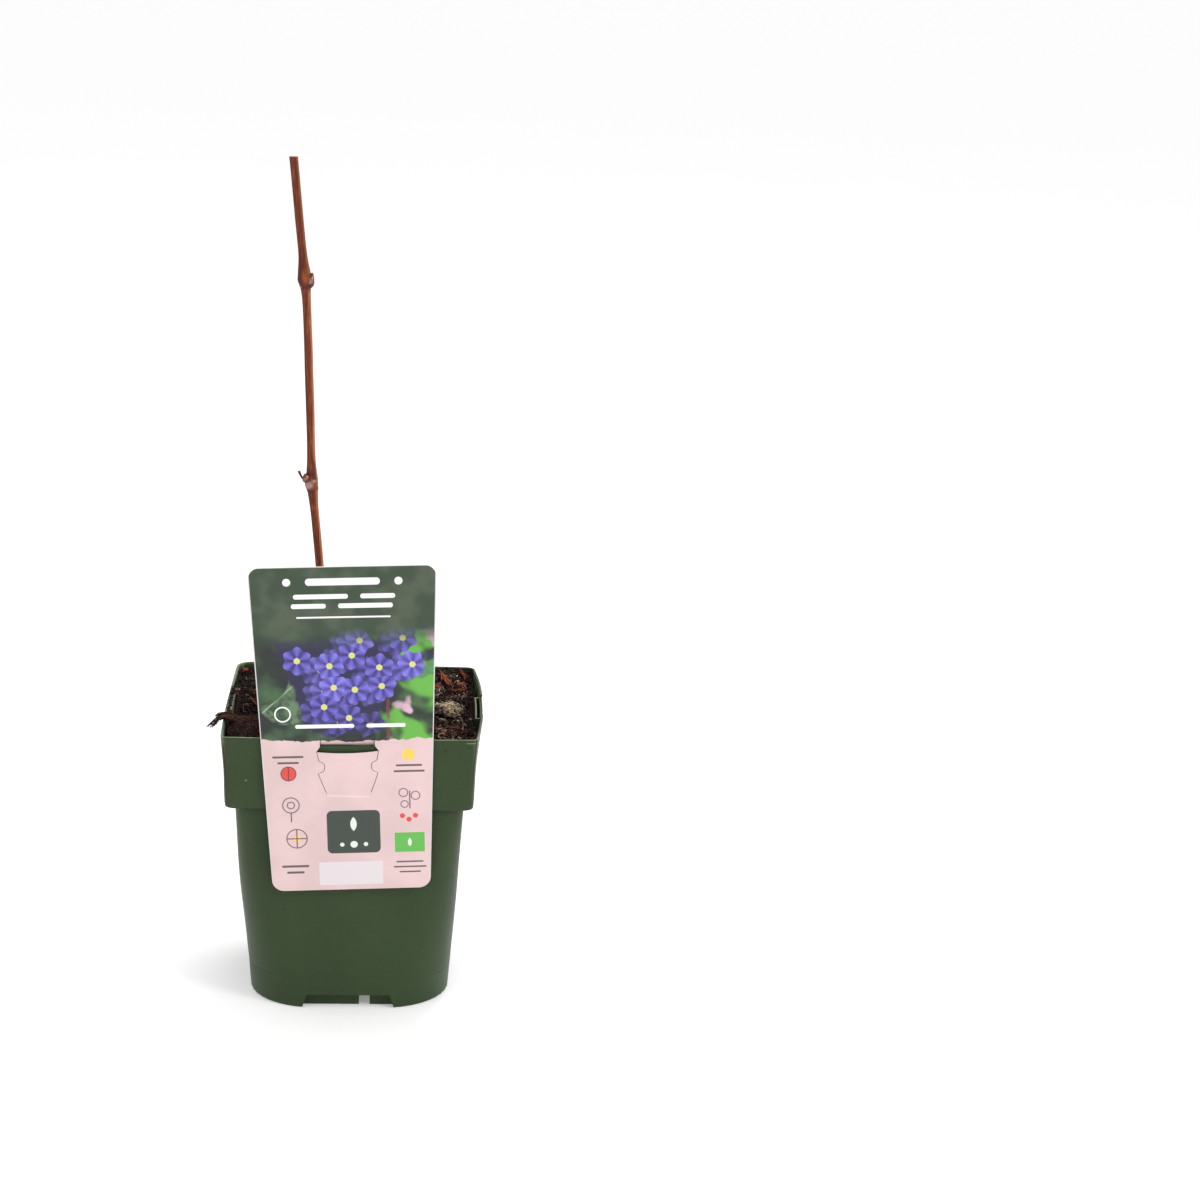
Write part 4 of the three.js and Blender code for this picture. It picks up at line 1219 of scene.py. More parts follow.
# direction in degrees from +X, height, reach across, reach along, height of the lump
CANE_LUMPS = (
    (-2, 134.8, 2.0, 2.4, 0.45), (150, 133.0, 2.4, 2.0, 0.2),
    (-128, 221.2, 1.9, 2.2, 0.50), (-150, 219.9, 1.5, 1.8, 0.55), (-118, 219.2, 1.3, 1.3, 0.25),
    (-68, 221.6, 0.7, 0.6, 0.28), (-38, 221.3, 1.0, 1.1, 0.34), (-20, 218.2, 2.6, 0.9, 0.18),
    (170, 217.6, 2.4, 0.9, 0.14), (40, 221.8, 1.6, 2.2, 0.2), (180, 304.9, 2.0, 1.8, 0.50),
    (-160, 310.0, 2.2, 3.6, 0.12), (-34, 304.0, 1.5, 2.4, 0.25), (-95, 303.6, 2.2, 1.1, 0.20),
    (100, 305.4, 2.0, 2.4, 0.25), (-150, 302.8, 1.0, 0.8, 0.22), (-60, 309.6, 1.2, 2.4, 0.15),
)
# what the patches colour: direction, height, reach across, reach along
CANE_PATCHES = {
    "scar": ((-122, 220.0, 1.25, 1.35), (-160, 303.8, 0.35, 0.4), (-142, 302.6, 0.25, 0.5),
             (-68, 221.7, 0.45, 0.42), (-20, 221.9, 0.5, 0.35)),
    "ochre": ((-40, 221.1, 0.7, 0.9), (-88, 306.8, 0.8, 2.4), (-2, 134.0, 1.4, 1.8)),
    "dark": ((-50, 227.0, 0.7, 3.8), (-84, 224.6, 1.0, 1.6), (-106, 217.2, 0.8, 0.8),
             (-46, 222.6, 0.5, 0.6), (-50, 220.4, 0.5, 0.5), (-20, 218.6, 1.0, 0.9),
             (-70, 302.8, 1.8, 1.3), (-128, 304.2, 1.0, 1.6), (-150, 225.5, 0.8, 2.4),
             (-172, 306.5, 0.9, 5.0), (60, 303.0, 2.0, 2.0), (120, 219.0, 1.8, 1.8),
             (0, 131.6, 1.8, 1.6)),
}


def cane_line(z):
    """Middle and radius of the bare cane at heights: read off the line, evened over 7 mm. Above its
    last point the middle's x runs on at the last slope."""
    window = z[:, None] + np.linspace(-3.5, 3.5, 7)
    held = np.clip(window, CANE_LINE[0, 0], CANE_LINE[-1, 0])
    x, y, r = (np.interp(held, CANE_LINE[:, 0], CANE_LINE[:, k]) for k in (1, 2, 3))
    last = CANE_LINE[-1] - CANE_LINE[-2]
    x = x + np.maximum(window - held, 0) * last[1] / last[0]
    return x.mean(1), y.mean(1), r.mean(1)


def patch(turn, z, spot, radius=2.0):
    """A soft round patch on the cane's skin: exp(-(across/reach)² - (along/reach)²)."""
    degrees, height, across, along = spot
    off = (turn - math.radians(degrees) + np.pi) % (2 * np.pi) - np.pi
    return np.exp(-(off * radius / across) ** 2 - ((z - height) / along) ** 2)


def make_cane(cane):
    """Rings up the cane's line: radius = line + node swellings + flare + ribs + knots + lumps - scar,
    then rings that step in over the flat cut to a small hollow pith."""
    rows, sides, skin_radius = 900, 60, 1.8
    z = np.linspace(cane.foot - 1.9, cane.tip, rows)
    turn = 2 * np.pi * np.arange(sides) / sides
    x, y, radius = cane_line(z)
    for height, swell, above, below in CANE_NODES:
        off = z - height
        radius = radius + swell * np.exp(-(off / np.where(off > 0, above, below)) ** 2)
    radius = radius + cane.flare * np.exp(-np.maximum(z - cane.foot, -1) / cane.flare_height)
    zz, tt = np.meshgrid(z, turn, indexing="ij")
    round_x, round_y = skin_radius * np.cos(tt), skin_radius * np.sin(tt)
    ribs = layered(np.stack([round_x, round_y, zz * 0.045], -1), 0.85, 3, 31)
    knots = noise(np.stack([round_x, round_y, zz * 0.4], -1), 1.6, 41)
    near = sum(np.exp(-((zz - node[0]) / 5) ** 2) for node in CANE_NODES)
    full = radius[:, None] + cane.ribs * ribs + 0.10 * near * knots
    for *spot, lump in CANE_LUMPS:
        full = full + lump * patch(tt, zz, spot)
    scar = patch(tt, zz, CANE_PATCHES["scar"][0])
    full = full - 0.22 * ease(0.45, 0.75, scar)
    rings = np.stack([x[:, None] + full * np.cos(tt), y[:, None] + full * np.sin(tt), zz], -1)
    marks = {name: np.clip(sum(patch(tt, zz, spot) for spot in spots) * 1.5, 0, 1)
             for name, spots in CANE_PATCHES.items()}
    middle = np.array([x[-1], y[-1], cane.tip])
    cap, cut, pith = [], [], []
    # share of the radius, drop below the tip, and how far the ring is cut wood or pith
    steps = ((0.97, 0.0, 0.2, 0), (0.9, 0.06, 1, 0), (0.7, 0.03, 1, 0), (0.42, 0.05, 1, 0),
             (0.3, 0.08, 1, 0.5), (0.25, 0.5, 0, 1), (0.12, 0.7, 0, 1))
    for share, drop, wood, core in steps:
        ring = middle + (rings[-1] - middle) * share - np.array([0, 0, drop])
        ring[:, 2] -= 0.05 * np.abs(noise(ring, 0.4, 51)) * (share < 0.96)
        cap.append(ring)
        cut.append(np.full(sides, wood))
        pith.append(np.full(sides, core))
    mesh = to_mesh("cane", tube(np.concatenate([rings, np.stack(cap)])))
    body, top = np.zeros(rows * sides), np.ones(len(cap) * sides)
    for name, values in marks.items():
        mark(mesh, name, np.concatenate([values.ravel(), 0 * top, [0, 0]]))
    # painted light: the "side" mark is highest on the right, a little to the front, and the bark finish
    # paints that side paler and the other darker
    toward = 0.5 + 0.5 * np.cos(tt + 0.25)
    mark(mesh, "side", np.concatenate([toward.ravel(), 0.5 * top, [0.5, 0.5]]))
    mark(mesh, "cut", np.concatenate([body, *cut, [0, 0]]))
    mark(mesh, "pith", np.concatenate([body, *pith, [0, 1]]))
    return mesh


# middle, half sizes, lean, and the direction that the edge of the lowest scale rises to
BUDS = {
    "base_bud": ((-7.9, -3.1, 136.6), (1.5, 1.5, 2.6), 0.22, 0.0),
    "lower_bud": ((-20.3, -7.6, 223.0), (1.8, 1.7, 1.95), -0.18, 2.6),
    "upper_bud": ((-18.7, -5.4, 305.4), (1.5, 1.6, 3.2), 0.12, -0.6),
}


def make_bud(name):
    """A pointed drop in overlapping scales: each scale's edge is a slanted loop, and above it the
    skin steps in."""
    at, size, lean, facing = BUDS[name]
    t, turn = np.meshgrid(np.linspace(0.02, 0.985, 44), 2 * np.pi * np.arange(40) / 40, indexing="ij")
    up = -np.cos(np.pi * t)
    wide = np.sin(np.pi * t) ** 0.8 * np.where(up > 0, 1 - 0.34 * up ** 2, 1)
    edges = 0
    scales = ((-0.35, 0.30, 0), (0.10, -0.42, 0.4), (0.52, 0.34, 0.9))
    for level, slant, way in scales:
        over = up - level - slant * np.cos(turn - (facing + way))
        wide = wide * (1 - 0.09 * ease(0.0, 0.10, over))
        edges = edges + np.exp(-((over + 0.02) / 0.06) ** 2)
    local = np.stack([wide * np.cos(turn), wide * np.sin(turn), up], -1)
    bumps = 1 + 0.05 * layered(local + 7 * len(name), 0.5, 3, 61)
    local = local * bumps[..., None] * np.array(size)
    c, s = math.cos(lean), math.sin(lean)
    rings = local @ np.array([[c, 0, -s], [0, 1, 0], [s, 0, c]]) + np.array(at)
    mesh = to_mesh(name, tube(rings))
    mark(mesh, "edge", np.concatenate([np.clip(edges, 0, 1).ravel(), [0, 1]]))
    # the "height" mark sets painted shade: the finish makes the scales darker low down
    mark(mesh, "height", np.concatenate([(up / 2 + 0.5).ravel(), [0, 1]]))
    # painted highlight: two pale spots on the bud's front
    worn = patch(turn, up, (-64, 0.34, 0.24, 0.24), 1.0)
    worn = worn + 0.5 * patch(turn, up, (-100, -0.1, 0.5, 0.3), 1.0)
    mark(mesh, "worn", np.concatenate([np.clip(worn, 0, 1).ravel(), [0, 0]]))
    return mesh


def make_stub():
    """The dry end of a tendril: a thin bent tube that flares to a torn tip."""
    stops = [(-20.6, -4.8, 221.2), (-21.9, -5.6, 222.5), (-22.75, -6.2, 224.1), (-23.3, -6.6, 225.6)]
    path = curve_through(np.array(stops), 40)
    t = np.linspace(0, 1, 40)
    radius = 0.42 + 0.30 * t ** 4 + 0.10 * np.exp(-(t / 0.2) ** 2)
    points, faces = tubes(path[None], radius[None], 16)
    points = points + unit(points - points.mean(0)) * (0.06 * layered(points, 0.5, 2, 71))[:, None]
    mesh = to_mesh("tendril_stub", outward(points, faces))
    along = np.concatenate([np.repeat(t, 16), [0, 1]])
    mark(mesh, "edge", ease(0.86, 0.97, along))
    mark(mesh, "height", 0.15 + 0.35 * along)
    return mesh


# Card

CARD_PLACE = SimpleNamespace(hook_x=-0.9, hook_y=-54.5, hook_z=121.5, tilt=math.radians(2.05))
# the y between which a cutter runs, in front of the card and behind it
CARD_CUT = (-70.0, -38.0)


def card_lean(w):
    """How far back the card lies at a distance above its hook: two slopes that meet there."""
    return np.where(w < 0, -0.073 * w, -0.045 * w)


def on_card(u, w, y):
    """Points u along and w above the hook, with their y."""
    c, s = math.cos(CARD_PLACE.tilt), math.sin(CARD_PLACE.tilt)
    x, z = CARD_PLACE.hook_x + u * c - w * s, CARD_PLACE.hook_z + u * s + w * c
    return np.stack([x, y + 0 * u, z], -1)


def card_bend(u, w):
    """The y of the card's middle surface: leaning, and bowed a little across and along."""
    bow = 0.35 * np.sin(w * 0.045 + 0.6) * (u / 38) + 0.25 * (u / 38) ** 2 * ease(0, 60, w)
    return CARD_PLACE.hook_y + card_lean(w) - bow


def card_edge(card):
    """The card's outline: a tapered rectangle with rounded corners."""
    turn = np.linspace(0, np.pi / 2, 12)
    loops = []
    for half, w, su, sw in ((card.half_bottom, -card.bottom, 1, -1), (card.half_top, card.top, 1, 1),
                            (card.half_top, card.top, -1, 1), (card.half_bottom, -card.bottom, -1, -1)):
        arc = turn if su * sw > 0 else np.pi / 2 - turn
        r = card.corner * 0.72
        loops.append(np.stack([su * (half - r + r * np.cos(arc)), w + sw * (r * np.sin(arc) - r)], -1))
    return np.concatenate(loops)


def card_tool(outline):
    """A cutter through the card with an outline (n, 2) in its plane."""
    u, w = np.asarray(outline, float).T
    return tube(np.stack([on_card(u, w, y) for y in CARD_CUT]))


def slit(stops, width):
    """A thin cutter along a line in the card's plane."""
    path = np.asarray(stops, float)
    way = np.gradient(path, axis=0)
    side = unit(np.stack([-way[:, 1], way[:, 0]], -1)) * width / 2
    front, behind = CARD_CUT
    edges = [(path + side, front), (path - side, front), (path - side, behind), (path + side, behind)]
    return tube(np.stack([on_card(edge[:, 0], edge[:, 1], y) for edge, y in edges], 1))


def make_card(card):
    """A thin bent slab, cut to its outline, with the window for the hook, the slits beside its
    tongue, and the tongue folded back into the pocket."""
    w, u = np.meshgrid(np.linspace(-card.bottom - 3, card.top + 3, 120),
                       np.linspace(-card.half_top - 4, card.half_top + 4, 60), indexing="ij")
    middle = card_bend(u, w)
    half = card.thickness / 2
    slab = between(on_card(u, w, middle - half), on_card(u, w, middle + half))
    # the window: its lower edge sags, and its ends lean in to the hook line
    dip = np.linspace(-12.9, 12.9, 17)
    window = np.concatenate([np.stack([dip, -2.7 - 0.8 * (1 - (dip / 12.9) ** 2)], -1),
                             [(11.3, -0.4), (11.2, 3.3), (-11.2, 3.3), (-11.3, -0.4)]])
    # the right slit: a curl partway down
    bite = np.linspace(0, np.pi, 9)
    curl = np.stack([11.0 - 1.5 * np.sin(bite), -9.4 + 2.2 * np.cos(bite)], -1)
    line = np.concatenate([[(12.7, -2.4), (11.9, -6.6)], curl, [(12.3, -12.2), (10.8, -16.6), (9.1, -21.0)]])
    # the tongue: y and w of its middle line, from the card's upper part back into the pocket
    front = float(card_bend(0.0, 4.0))
    path = curve_through(np.array([
        (front, 4.4), (front + 0.05, 3.4), (front + 0.6, 2.1), (front + 1.7, 0.7),
        (front + 2.9, -0.7), (CARD_PLACE.hook_y + 3.0, -2.7)]), 30)
    way = unit(np.gradient(path, axis=0))
    side = np.stack([way[:, 1], -way[:, 0]], -1) * half
    across = np.linspace(-11.0, 11.0, 20)
    tongue = between(*(on_card(*np.meshgrid(across, edge[:, 1]), edge[:, :1])
                       for edge in (path + side, path - side)))
    mesh = carve(slab, [
        ("INTERSECT", card_tool(card_edge(card))),
        ("DIFFERENCE", card_tool(window)),
        ("DIFFERENCE", slit(line, card.slit)),
        ("DIFFERENCE", slit(line * np.array([-1, 1]), card.slit)),
        ("UNION", tongue),
    ])
    normal = np.zeros(len(mesh.polygons) * 3, np.float32)
    mesh.polygons.foreach_get("normal", normal)
    mark(mesh, "front", normal.reshape(-1, 3)[:, 1] < -0.5, "FACE")
    return mesh


# Loose pieces on the peat

# x, y, length, width, thickness, turn in degrees
CHIPS = (
    (-48.8, 41.2, 7.6, 2.4, 1.4, 78), (-45.0, 46.4, 7.0, 2.4, 1.4, 84), (-42.2, 1.0, 6.4, 2.4, 1.2, -60),
    (44.8, 28.2, 8.0, 2.6, 1.3, -8), (39.6, 35.6, 8.4, 2.6, 1.4, -60), (47.0, 37.4, 7.6, 2.4, 1.4, 44),
    (35.8, 32.6, 4.2, 2.0, 1.2, -16), (47.8, 46.2, 6.6, 2.0, 1.2, -68), (37.6, -28.6, 9.0, 2.4, 1.2, -50),
    (43.4, -21.0, 6.0, 2.4, 1.2, -26), (47.2, -26.6, 6.6, 2.4, 1.2, 12), (-24.0, 34.0, 10.5, 4.0, 1.5, -35),
    (16.0, 30.0, 11.0, 4.2, 1.6, 12), (19.0, -15.0, 9.5, 3.8, 1.4, 50),
)
# how far each chip's first end is raised, in millimetres, and how light it is
CHIP_LOOKS = ((0.5, 0.1), (2.6, 0.6), (0.2, -0.2), (0.4, -0.1), (1.6, 0.45), (-0.6, 0.3), (0.4, 0.3),
              (1.4, 0.35), (0.4, -0.6), (0.2, -0.5), (0.2, -0.7), (0.3, 0.2), (0.5, 0.0), (0.3, 0.3))
# a chip's splinters: share of its length and width, shift along and across, turn in degrees
SPLINTERS = ((1.0, 0.52, 0, -0.06, 0), (0.70, 0.30, 0.12, 0.28, 22), (0.52, 0.26, -0.20, -0.36, -27))


def splinter(long, wide, thick, seed):
    """Thin flat rings along a splinter's length between two ragged edges that taper to frayed points,
    with ridges along the grain and a low arch."""
    s, turn = np.meshgrid(np.linspace(-1, 1, 44), 2 * np.pi * (np.arange(20) + 0.5) / 20, indexing="ij")
    c, h = np.cos(turn), np.sin(turn)
    across, high = np.sign(c) * np.abs(c) ** 0.35, np.sign(h) * np.abs(h) ** 0.35
    near = np.interp(s, (-1, -0.6, 0.1, 0.7, 1), (-0.15, -0.9, -1, -0.7, 0.05))
    far = np.interp(s, (-1, -0.7, -0.1, 0.5, 1), (-0.05, 0.7, 1, 0.6, 0.12))
    ragged = 0.30 * layered(np.stack([s * 4.2, np.sign(c) + 0 * s, 0 * s], -1), 0.8, 2, seed)
    side = wide / 2 * (lerp(near, far, (across + 1) / 2) + ragged * across * (1 - s ** 6))
    grain = layered(np.stack([s * 0.8, side * 1.7, high * 0.3], -1), 0.5, 3, seed + 1)
    fray = 0.24 * long / 2 * noise(np.stack([side * 2.4, high * 0.6, np.sign(s)], -1), 0.8, seed + 2)
    up = 0.5 * high * thick / 2 * (1 - 0.6 * s ** 4) + 0.14 * grain * (np.abs(h) > 0.1)
    up = up - 0.4 * s ** 2 * math.sin(seed * 1.7) + 0.25 * across ** 2 * math.cos(seed)
    return np.stack([s * long / 2 + fray * np.abs(s) ** 3, side, up], -1)


def turn_flat(points, degrees):
    """The points turned about Z."""
    c, s = math.cos(math.radians(degrees)), math.sin(math.radians(degrees))
    return points @ np.array([[c, s, 0], [-s, c, 0], [0, 0, 1]])


def make_chip(index, soil):
    """A chip: a main splinter and two small ones split from it, laid along the peat's slope with
    one end raised."""
    x, y, long, wide, thick, degrees = CHIPS[index]
    raised, light = CHIP_LOOKS[index]
    low, top = (np.array(corner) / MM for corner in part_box(f"bark_chip_{index + 1}"))
    near = 3.0
    rise = [(soil_height(soil, x + i, y + j) - soil_height(soil, x - i, y - j)) / (2 * near)
            for i, j in ((near, 0), (0, near))]
    solids, along, over = [], [], []
    for k, (share, width, shift, off, turn) in enumerate(SPLINTERS):
        local = splinter(long * share, wide * width, thick, 100 + 7 * index + 31 * k)
        placed = turn_flat(local, turn) + np.array([shift * long, off * wide, 0.12 * k])
        placed[..., 2] += raised * (0.5 - placed[..., 0] / long)
        laid = turn_flat(placed, degrees)
        laid[..., 2] += rise[0] * laid[..., 0] + rise[1] * laid[..., 1]
        solids.append(tube(laid + np.array([x, y, (low[2] + top[2]) / 2 + 0.1])))
        for values, kept in ((local[..., 0], along), (local[..., 1] + local[..., 2] * 0.4, over)):
            kept.append(np.concatenate([values.ravel(), [values[0].mean(), values[-1].mean()]]))
    along, over = np.concatenate(along), np.concatenate(over)
    same = np.ones(len(along))
    marks = {"along": along, "across": over, "light": light * same, "chip": index / len(CHIPS) * same}
    return joined(solids), marks


def make_chips(soil):
    made = [make_chip(index, soil) for index in range(len(CHIPS))]
    mesh = to_mesh("bark_chips", joined([solid for solid, _ in made]))
    for name in made[0][1]:
        mark(mesh, name, np.concatenate([marks[name] for _, marks in made]))
    return mesh


def make_clump(soil, counts):
    """A dry clump: a low dark lump that hugs the peat, with short pale curls over it that thin out
    towards its edge and spill a little beyond it."""
    rng = np.random.default_rng(21)
    low, top = (np.array(corner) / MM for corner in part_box("peat_clump"))
    middle, half = (low + top) / 2, (top - low) / 2
    points, faces = ball(5)
    swell = 1 + 0.20 * layered(points + 3, 0.6, 3, 81)
    body = points * (half * np.array([0.82, 0.84, 0.60])) * swell[:, None] + middle
    ground = soil_height(soil, body[:, 0], body[:, 1])
    body[:, 2] = np.maximum(body[:, 2], ground - 0.2)
    body[:, 2] += 0.45 * layered(body, 1.5, 3, 83)
    count = counts.grains
    way, far = rng.uniform(0, 2 * np.pi, count), 1.10 * rng.uniform(0, 1, count) ** 0.6
    x = middle[0] + half[0] * far * np.cos(way)
    y = middle[1] + half[1] * far * np.sin(way)
    edge = 1.0 + 0.35 * noise(flat(x, y), 3.4, 87) - 0.30 * ease(0.1, 0.9, np.sin(way + 0.5))
    kept = far < edge
    x, y, far = x[kept], y[kept], far[kept]
    count = len(x)
    lie, reach = rng.uniform(0, 2 * np.pi, count), rng.uniform(0.5, 1.9, count)
    bend, lift = rng.normal(0, 0.5, count), rng.uniform(0.0, 0.8, count)
    stops = []
    for t in (-1, 0, 1):
        px = x + reach * (0.5 * t * np.cos(lie) - bend * (1 - t * t) * np.sin(lie))
        py = y + reach * (0.5 * t * np.sin(lie) + bend * (1 - t * t) * np.cos(lie))
        out = ((px - middle[0]) / half[0]) ** 2 + ((py - middle[1]) / half[1]) ** 2
        dome = half[2] * 0.62 * np.sqrt(np.clip(1 - out, 0, 1)) + middle[2]
        dome = dome + 0.6 * noise(flat(px, py), 2.2, 89)
        floor = soil_height(soil, px, py) + np.maximum(soil_relief(soil, px, py), 0)
        stops.append(np.stack([px, py, np.maximum(dome, floor) + lift * (1 - 0.4 * t * t)], -1))
    paths = curve_through(np.stack(stops, 1), 7)
    taper = np.array([0.4, 0.85, 1, 1, 1, 0.85, 0.4])
    thin = rng.uniform(0.14, 0.34, count)[:, None] * taper
    mesh = to_mesh("peat_clump", joined([outward(body, faces), tubes(paths, thin, 4)]))
    dull = 0.45 * ease(0.2, 1.0, far) * (np.sin(way[kept]) < 0.2)
    uneven = 0.75 + 0.25 * noise(flat(x, y), 3.0, 97) - dull
    pale = np.clip(rng.beta(1.7, 1.5, count) * uneven, 0, 1) + 0.04
    tones = [0.04 + 0.10 * noise(body, 1.2, 85), np.repeat(pale, tube_points(7, 4))]
    mark(mesh, "tone", np.concatenate(tones))
    return mesh


# hairs over the rim: y where they cross it, then where their tips reach
TRAILS = (
    (-27.4, (-60.2, -35.0, 122.5)), (-28.2, (-59.4, -34.0, 122.4)), (-27.8, (-57.6, -33.2, 122.3)),
    (-24.8, (-56.8, -28.6, 125.0)), (-29.0, (-58.2, -35.6, 122.0)),
)


def make_tuft(pot, soil, counts):
    """Matted fibre: a flat mat, hairs lying over it in all directions, and a bundle that trails
    over the rim and curls to thin tips."""
    rng = np.random.default_rng(34)
    centre, half = np.array([-44.4, -34.6, 120.2]), np.array([6.4, 15.4, 3.0])
    points, faces = ball(5)
    mat = points * half * (1 + 0.16 * layered(points, 0.5, 3, 91))[:, None] + centre
    mat[:, 0] = np.maximum(mat[:, 0], -50.9)
    mat[:, 2] = np.maximum(mat[:, 2], soil_height(soil, mat[:, 0], mat[:, 1]) - 0.3)
    mat[:, 2] += 0.35 * layered(mat, 1.4, 2, 93)

    # hairs over the mat
    loose = counts.tuft_hairs
    spot = unit(rng.normal(size=(loose, 3))) * np.array([1, 1, 0.75])
    spot[:, 2] = np.abs(spot[:, 2])
    start = spot * half * rng.uniform(0.55, 1.06, (loose, 1)) + centre
    way = rng.uniform(0, 2 * np.pi, loose)
    reach = rng.uniform(2.5, 9.0, loose)
    stops = []
    for t in (0, 0.33, 0.66, 1):
        drift = rng.normal(0, 0.45, (loose, 3))
        step = np.stack([np.cos(way + 1.4 * t), np.sin(way + 1.4 * t) * 1.4, 0 * way], -1)
        step = step * (reach * (t - 0.5))[:, None]
        stop = start + step + drift
        stop[:, 0] = np.clip(stop[:, 0], -50.8, -34.5)
        stop[:, 1] = np.clip(stop[:, 1], -50.2, -16.5)
        inside = np.clip(1 - ((stop[:, 0] - centre[0]) / (half[0] * 1.15)) ** 2
                         - ((stop[:, 1] - centre[1]) / (half[1] * 1.15)) ** 2, 0, 1)
        ground = soil_height(soil, stop[:, 0], stop[:, 1])
        top = np.maximum(ground + 0.2, centre[2] + half[2] * np.sqrt(inside))
        stop[:, 2] = np.minimum(top + rng.uniform(-0.5, 0.9, loose), pot.height + 0.6)
        stops.append(stop)
    hairs = curve_through(np.stack(stops, 1), 9)
    taper = np.array([0.5, 0.9, 1, 1, 1, 1, 0.9, 0.7, 0.3])
    thin = rng.uniform(0.05, 0.17, loose)[:, None] * taper

    # the bundle over the rim
    trailing = 110
    which = rng.integers(0, len(TRAILS), trailing)
    crest_y = np.array([trail[0] for trail in TRAILS])[which] + rng.normal(0, 1.0, trailing)
    tips = np.array([trail[1] for trail in TRAILS])[which]
    short = rng.uniform(0.35, 1.0, (trailing, 1)) ** 0.6
    crest_x = -(pot.rim_width + BOWS[3]) / 2
    top = pot.height + rng.uniform(0.2, 1.5, trailing)
    crest = np.stack([crest_x + rng.normal(0, 0.25, trailing), crest_y, top], -1)
    root = np.stack([rng.uniform(-46, -40, trailing),
                     centre[1] + (crest_y - centre[1]) * 0.8 + rng.normal(0, 2, trailing),
                     rng.uniform(121.5, 123.4, trailing)], -1)
    inner = crest + np.stack([np.full(trailing, 3.4), -1.0 + rng.normal(0, 0.6, trailing),
                              rng.uniform(-0.6, 0.2, trailing)], -1)
    end = crest + (tips - crest) * short + rng.normal(0, 0.35, (trailing, 3)) * short
    mid = (crest + end) / 2 + np.stack([rng.normal(-0.3, 0.3, trailing), rng.normal(0, 0.5, trailing),
                                        rng.uniform(0.0, 0.8, trailing)], -1)
    curl = end + np.stack([rng.uniform(-0.2, 0.7, trailing), rng.uniform(-1.4, 0.3, trailing),
                           rng.uniform(-0.5, 0.7, trailing)], -1)
    curl[:, 0] = np.maximum(curl[:, 0], -60.9)
    trails = curve_through(np.stack([root, inner, crest, mid, end, curl], 1), 22)
    trails[..., 0] = np.maximum(trails[..., 0], -61.2)
    taper = np.interp(np.linspace(0, 1, 22), [0, 0.4, 0.7, 1], [1, 1, 0.6, 0.2])
    thick = rng.uniform(0.08, 0.22, trailing)[:, None] * taper

    solids = [outward(mat, faces), tubes(hairs, thin, 3), tubes(trails, thick, 4)]
    mesh = to_mesh("fibre_tuft", joined(solids))
    tones = [0.30 + 0.2 * noise(mat, 1.5, 95),
             np.repeat(rng.beta(2.0, 2.4, loose), tube_points(9, 3)),
             np.repeat(rng.beta(2.6, 2.0, trailing), tube_points(22, 4))]
    mark(mesh, "tone", np.concatenate(tones))
    return mesh


# Operators

def settings(context):
    """What every operator reads: sizes in millimetres, counts and colours."""
    scene = context.scene
    return SimpleNamespace(
        pot=in_mm(scene.vine_pot), details=in_mm(scene.vine_pot_details), soil=in_mm(scene.vine_soil),
        cane=in_mm(scene.vine_cane), card=in_mm(scene.vine_card), counts=scene.vine_counts,
        tints=scene.vine_colours)


class VINE_OT_pot(Operator):
    """Build the square pot: tapered body, collar, rim pockets, foot notches and drain holes"""
    bl_idname = "vine.pot"
    bl_label = "Pot"

    def execute(self, context):
        has = settings(context)
        show("pot_skin", make_pot(has.pot, has.details), pot_finish(has.tints), ["pot"], 32)
        return {"FINISHED"}


class VINE_OT_soil(Operator):
    """Build the peat with its crumbs and loose hairs"""
    bl_idname = "vine.soil"
    bl_label = "Peat"

    def execute(self, context):
        has = settings(context)
        peat = make_soil(has.pot, has.details, has.soil)
        show("peat_bed", peat, peat_finish(has.tints), ["soil"])
        crumbs = crumb_finish(
            "peat_crumbs", (0.0, shade(has.tints.peat_dark, 0.6)),
            (0.30, tuple(has.tints.peat_dark)), (0.50, tuple(has.tints.peat_light)),
            (0.72, rgb(96, 72, 60)), (0.92, rgb(176, 154, 134)))
        loose = make_crumbs(has.pot, has.details, has.soil, has.counts)
        show("peat_crumbs", loose, crumbs, crease=0)
        hairs = crumb_finish(
            "peat_hairs", (0.08, rgb(18, 11, 9)), (0.30, rgb(52, 34, 28)),
            (0.50, rgb(104, 80, 70)), (0.72, rgb(150, 128, 116)), (0.94, rgb(218, 202, 180)))
        threads = make_hairs(has.pot, has.details, has.soil, has.counts)
        show("peat_hairs", threads, hairs)
        return {"FINISHED"}


class VINE_OT_cane(Operator):
    """Build the bare cane with its nodes, buds and tendril stub"""
    bl_idname = "vine.cane"
    bl_label = "Cane"

    def execute(self, context):
        has = settings(context)
        show("cane_bark", make_cane(has.cane), bark_finish(has.tints), ["cane"])
        scales = bud_finish(has.tints)
        for name in BUDS:
            show(name + "_scales", make_bud(name), scales, [name])
        show("stub_skin", make_stub(), scales, ["tendril_stub"])
        return {"FINISHED"}


class VINE_OT_card(Operator):
    """Build the printed card with its window, slits and folded tongue"""
    bl_idname = "vine.card"
    bl_label = "Card"

    def execute(self, context):
        has = settings(context)
        finish = card_finish(has.tints, CARD_PLACE, has.card)
        show("printed_card", make_card(has.card), finish, ["hang_label"], 40)
        return {"FINISHED"}


class VINE_OT_chips(Operator):
    """Build the bark chips on the peat"""
    bl_idname = "vine.chips"
    bl_label = "Bark chips"

    def execute(self, context):
        has = settings(context)
        nodes = [f"bark_chip_{n + 1}" for n in range(len(CHIPS))]
        show("bark_splinters", make_chips(has.soil), chip_finish(has.tints), nodes, 50)
        return {"FINISHED"}


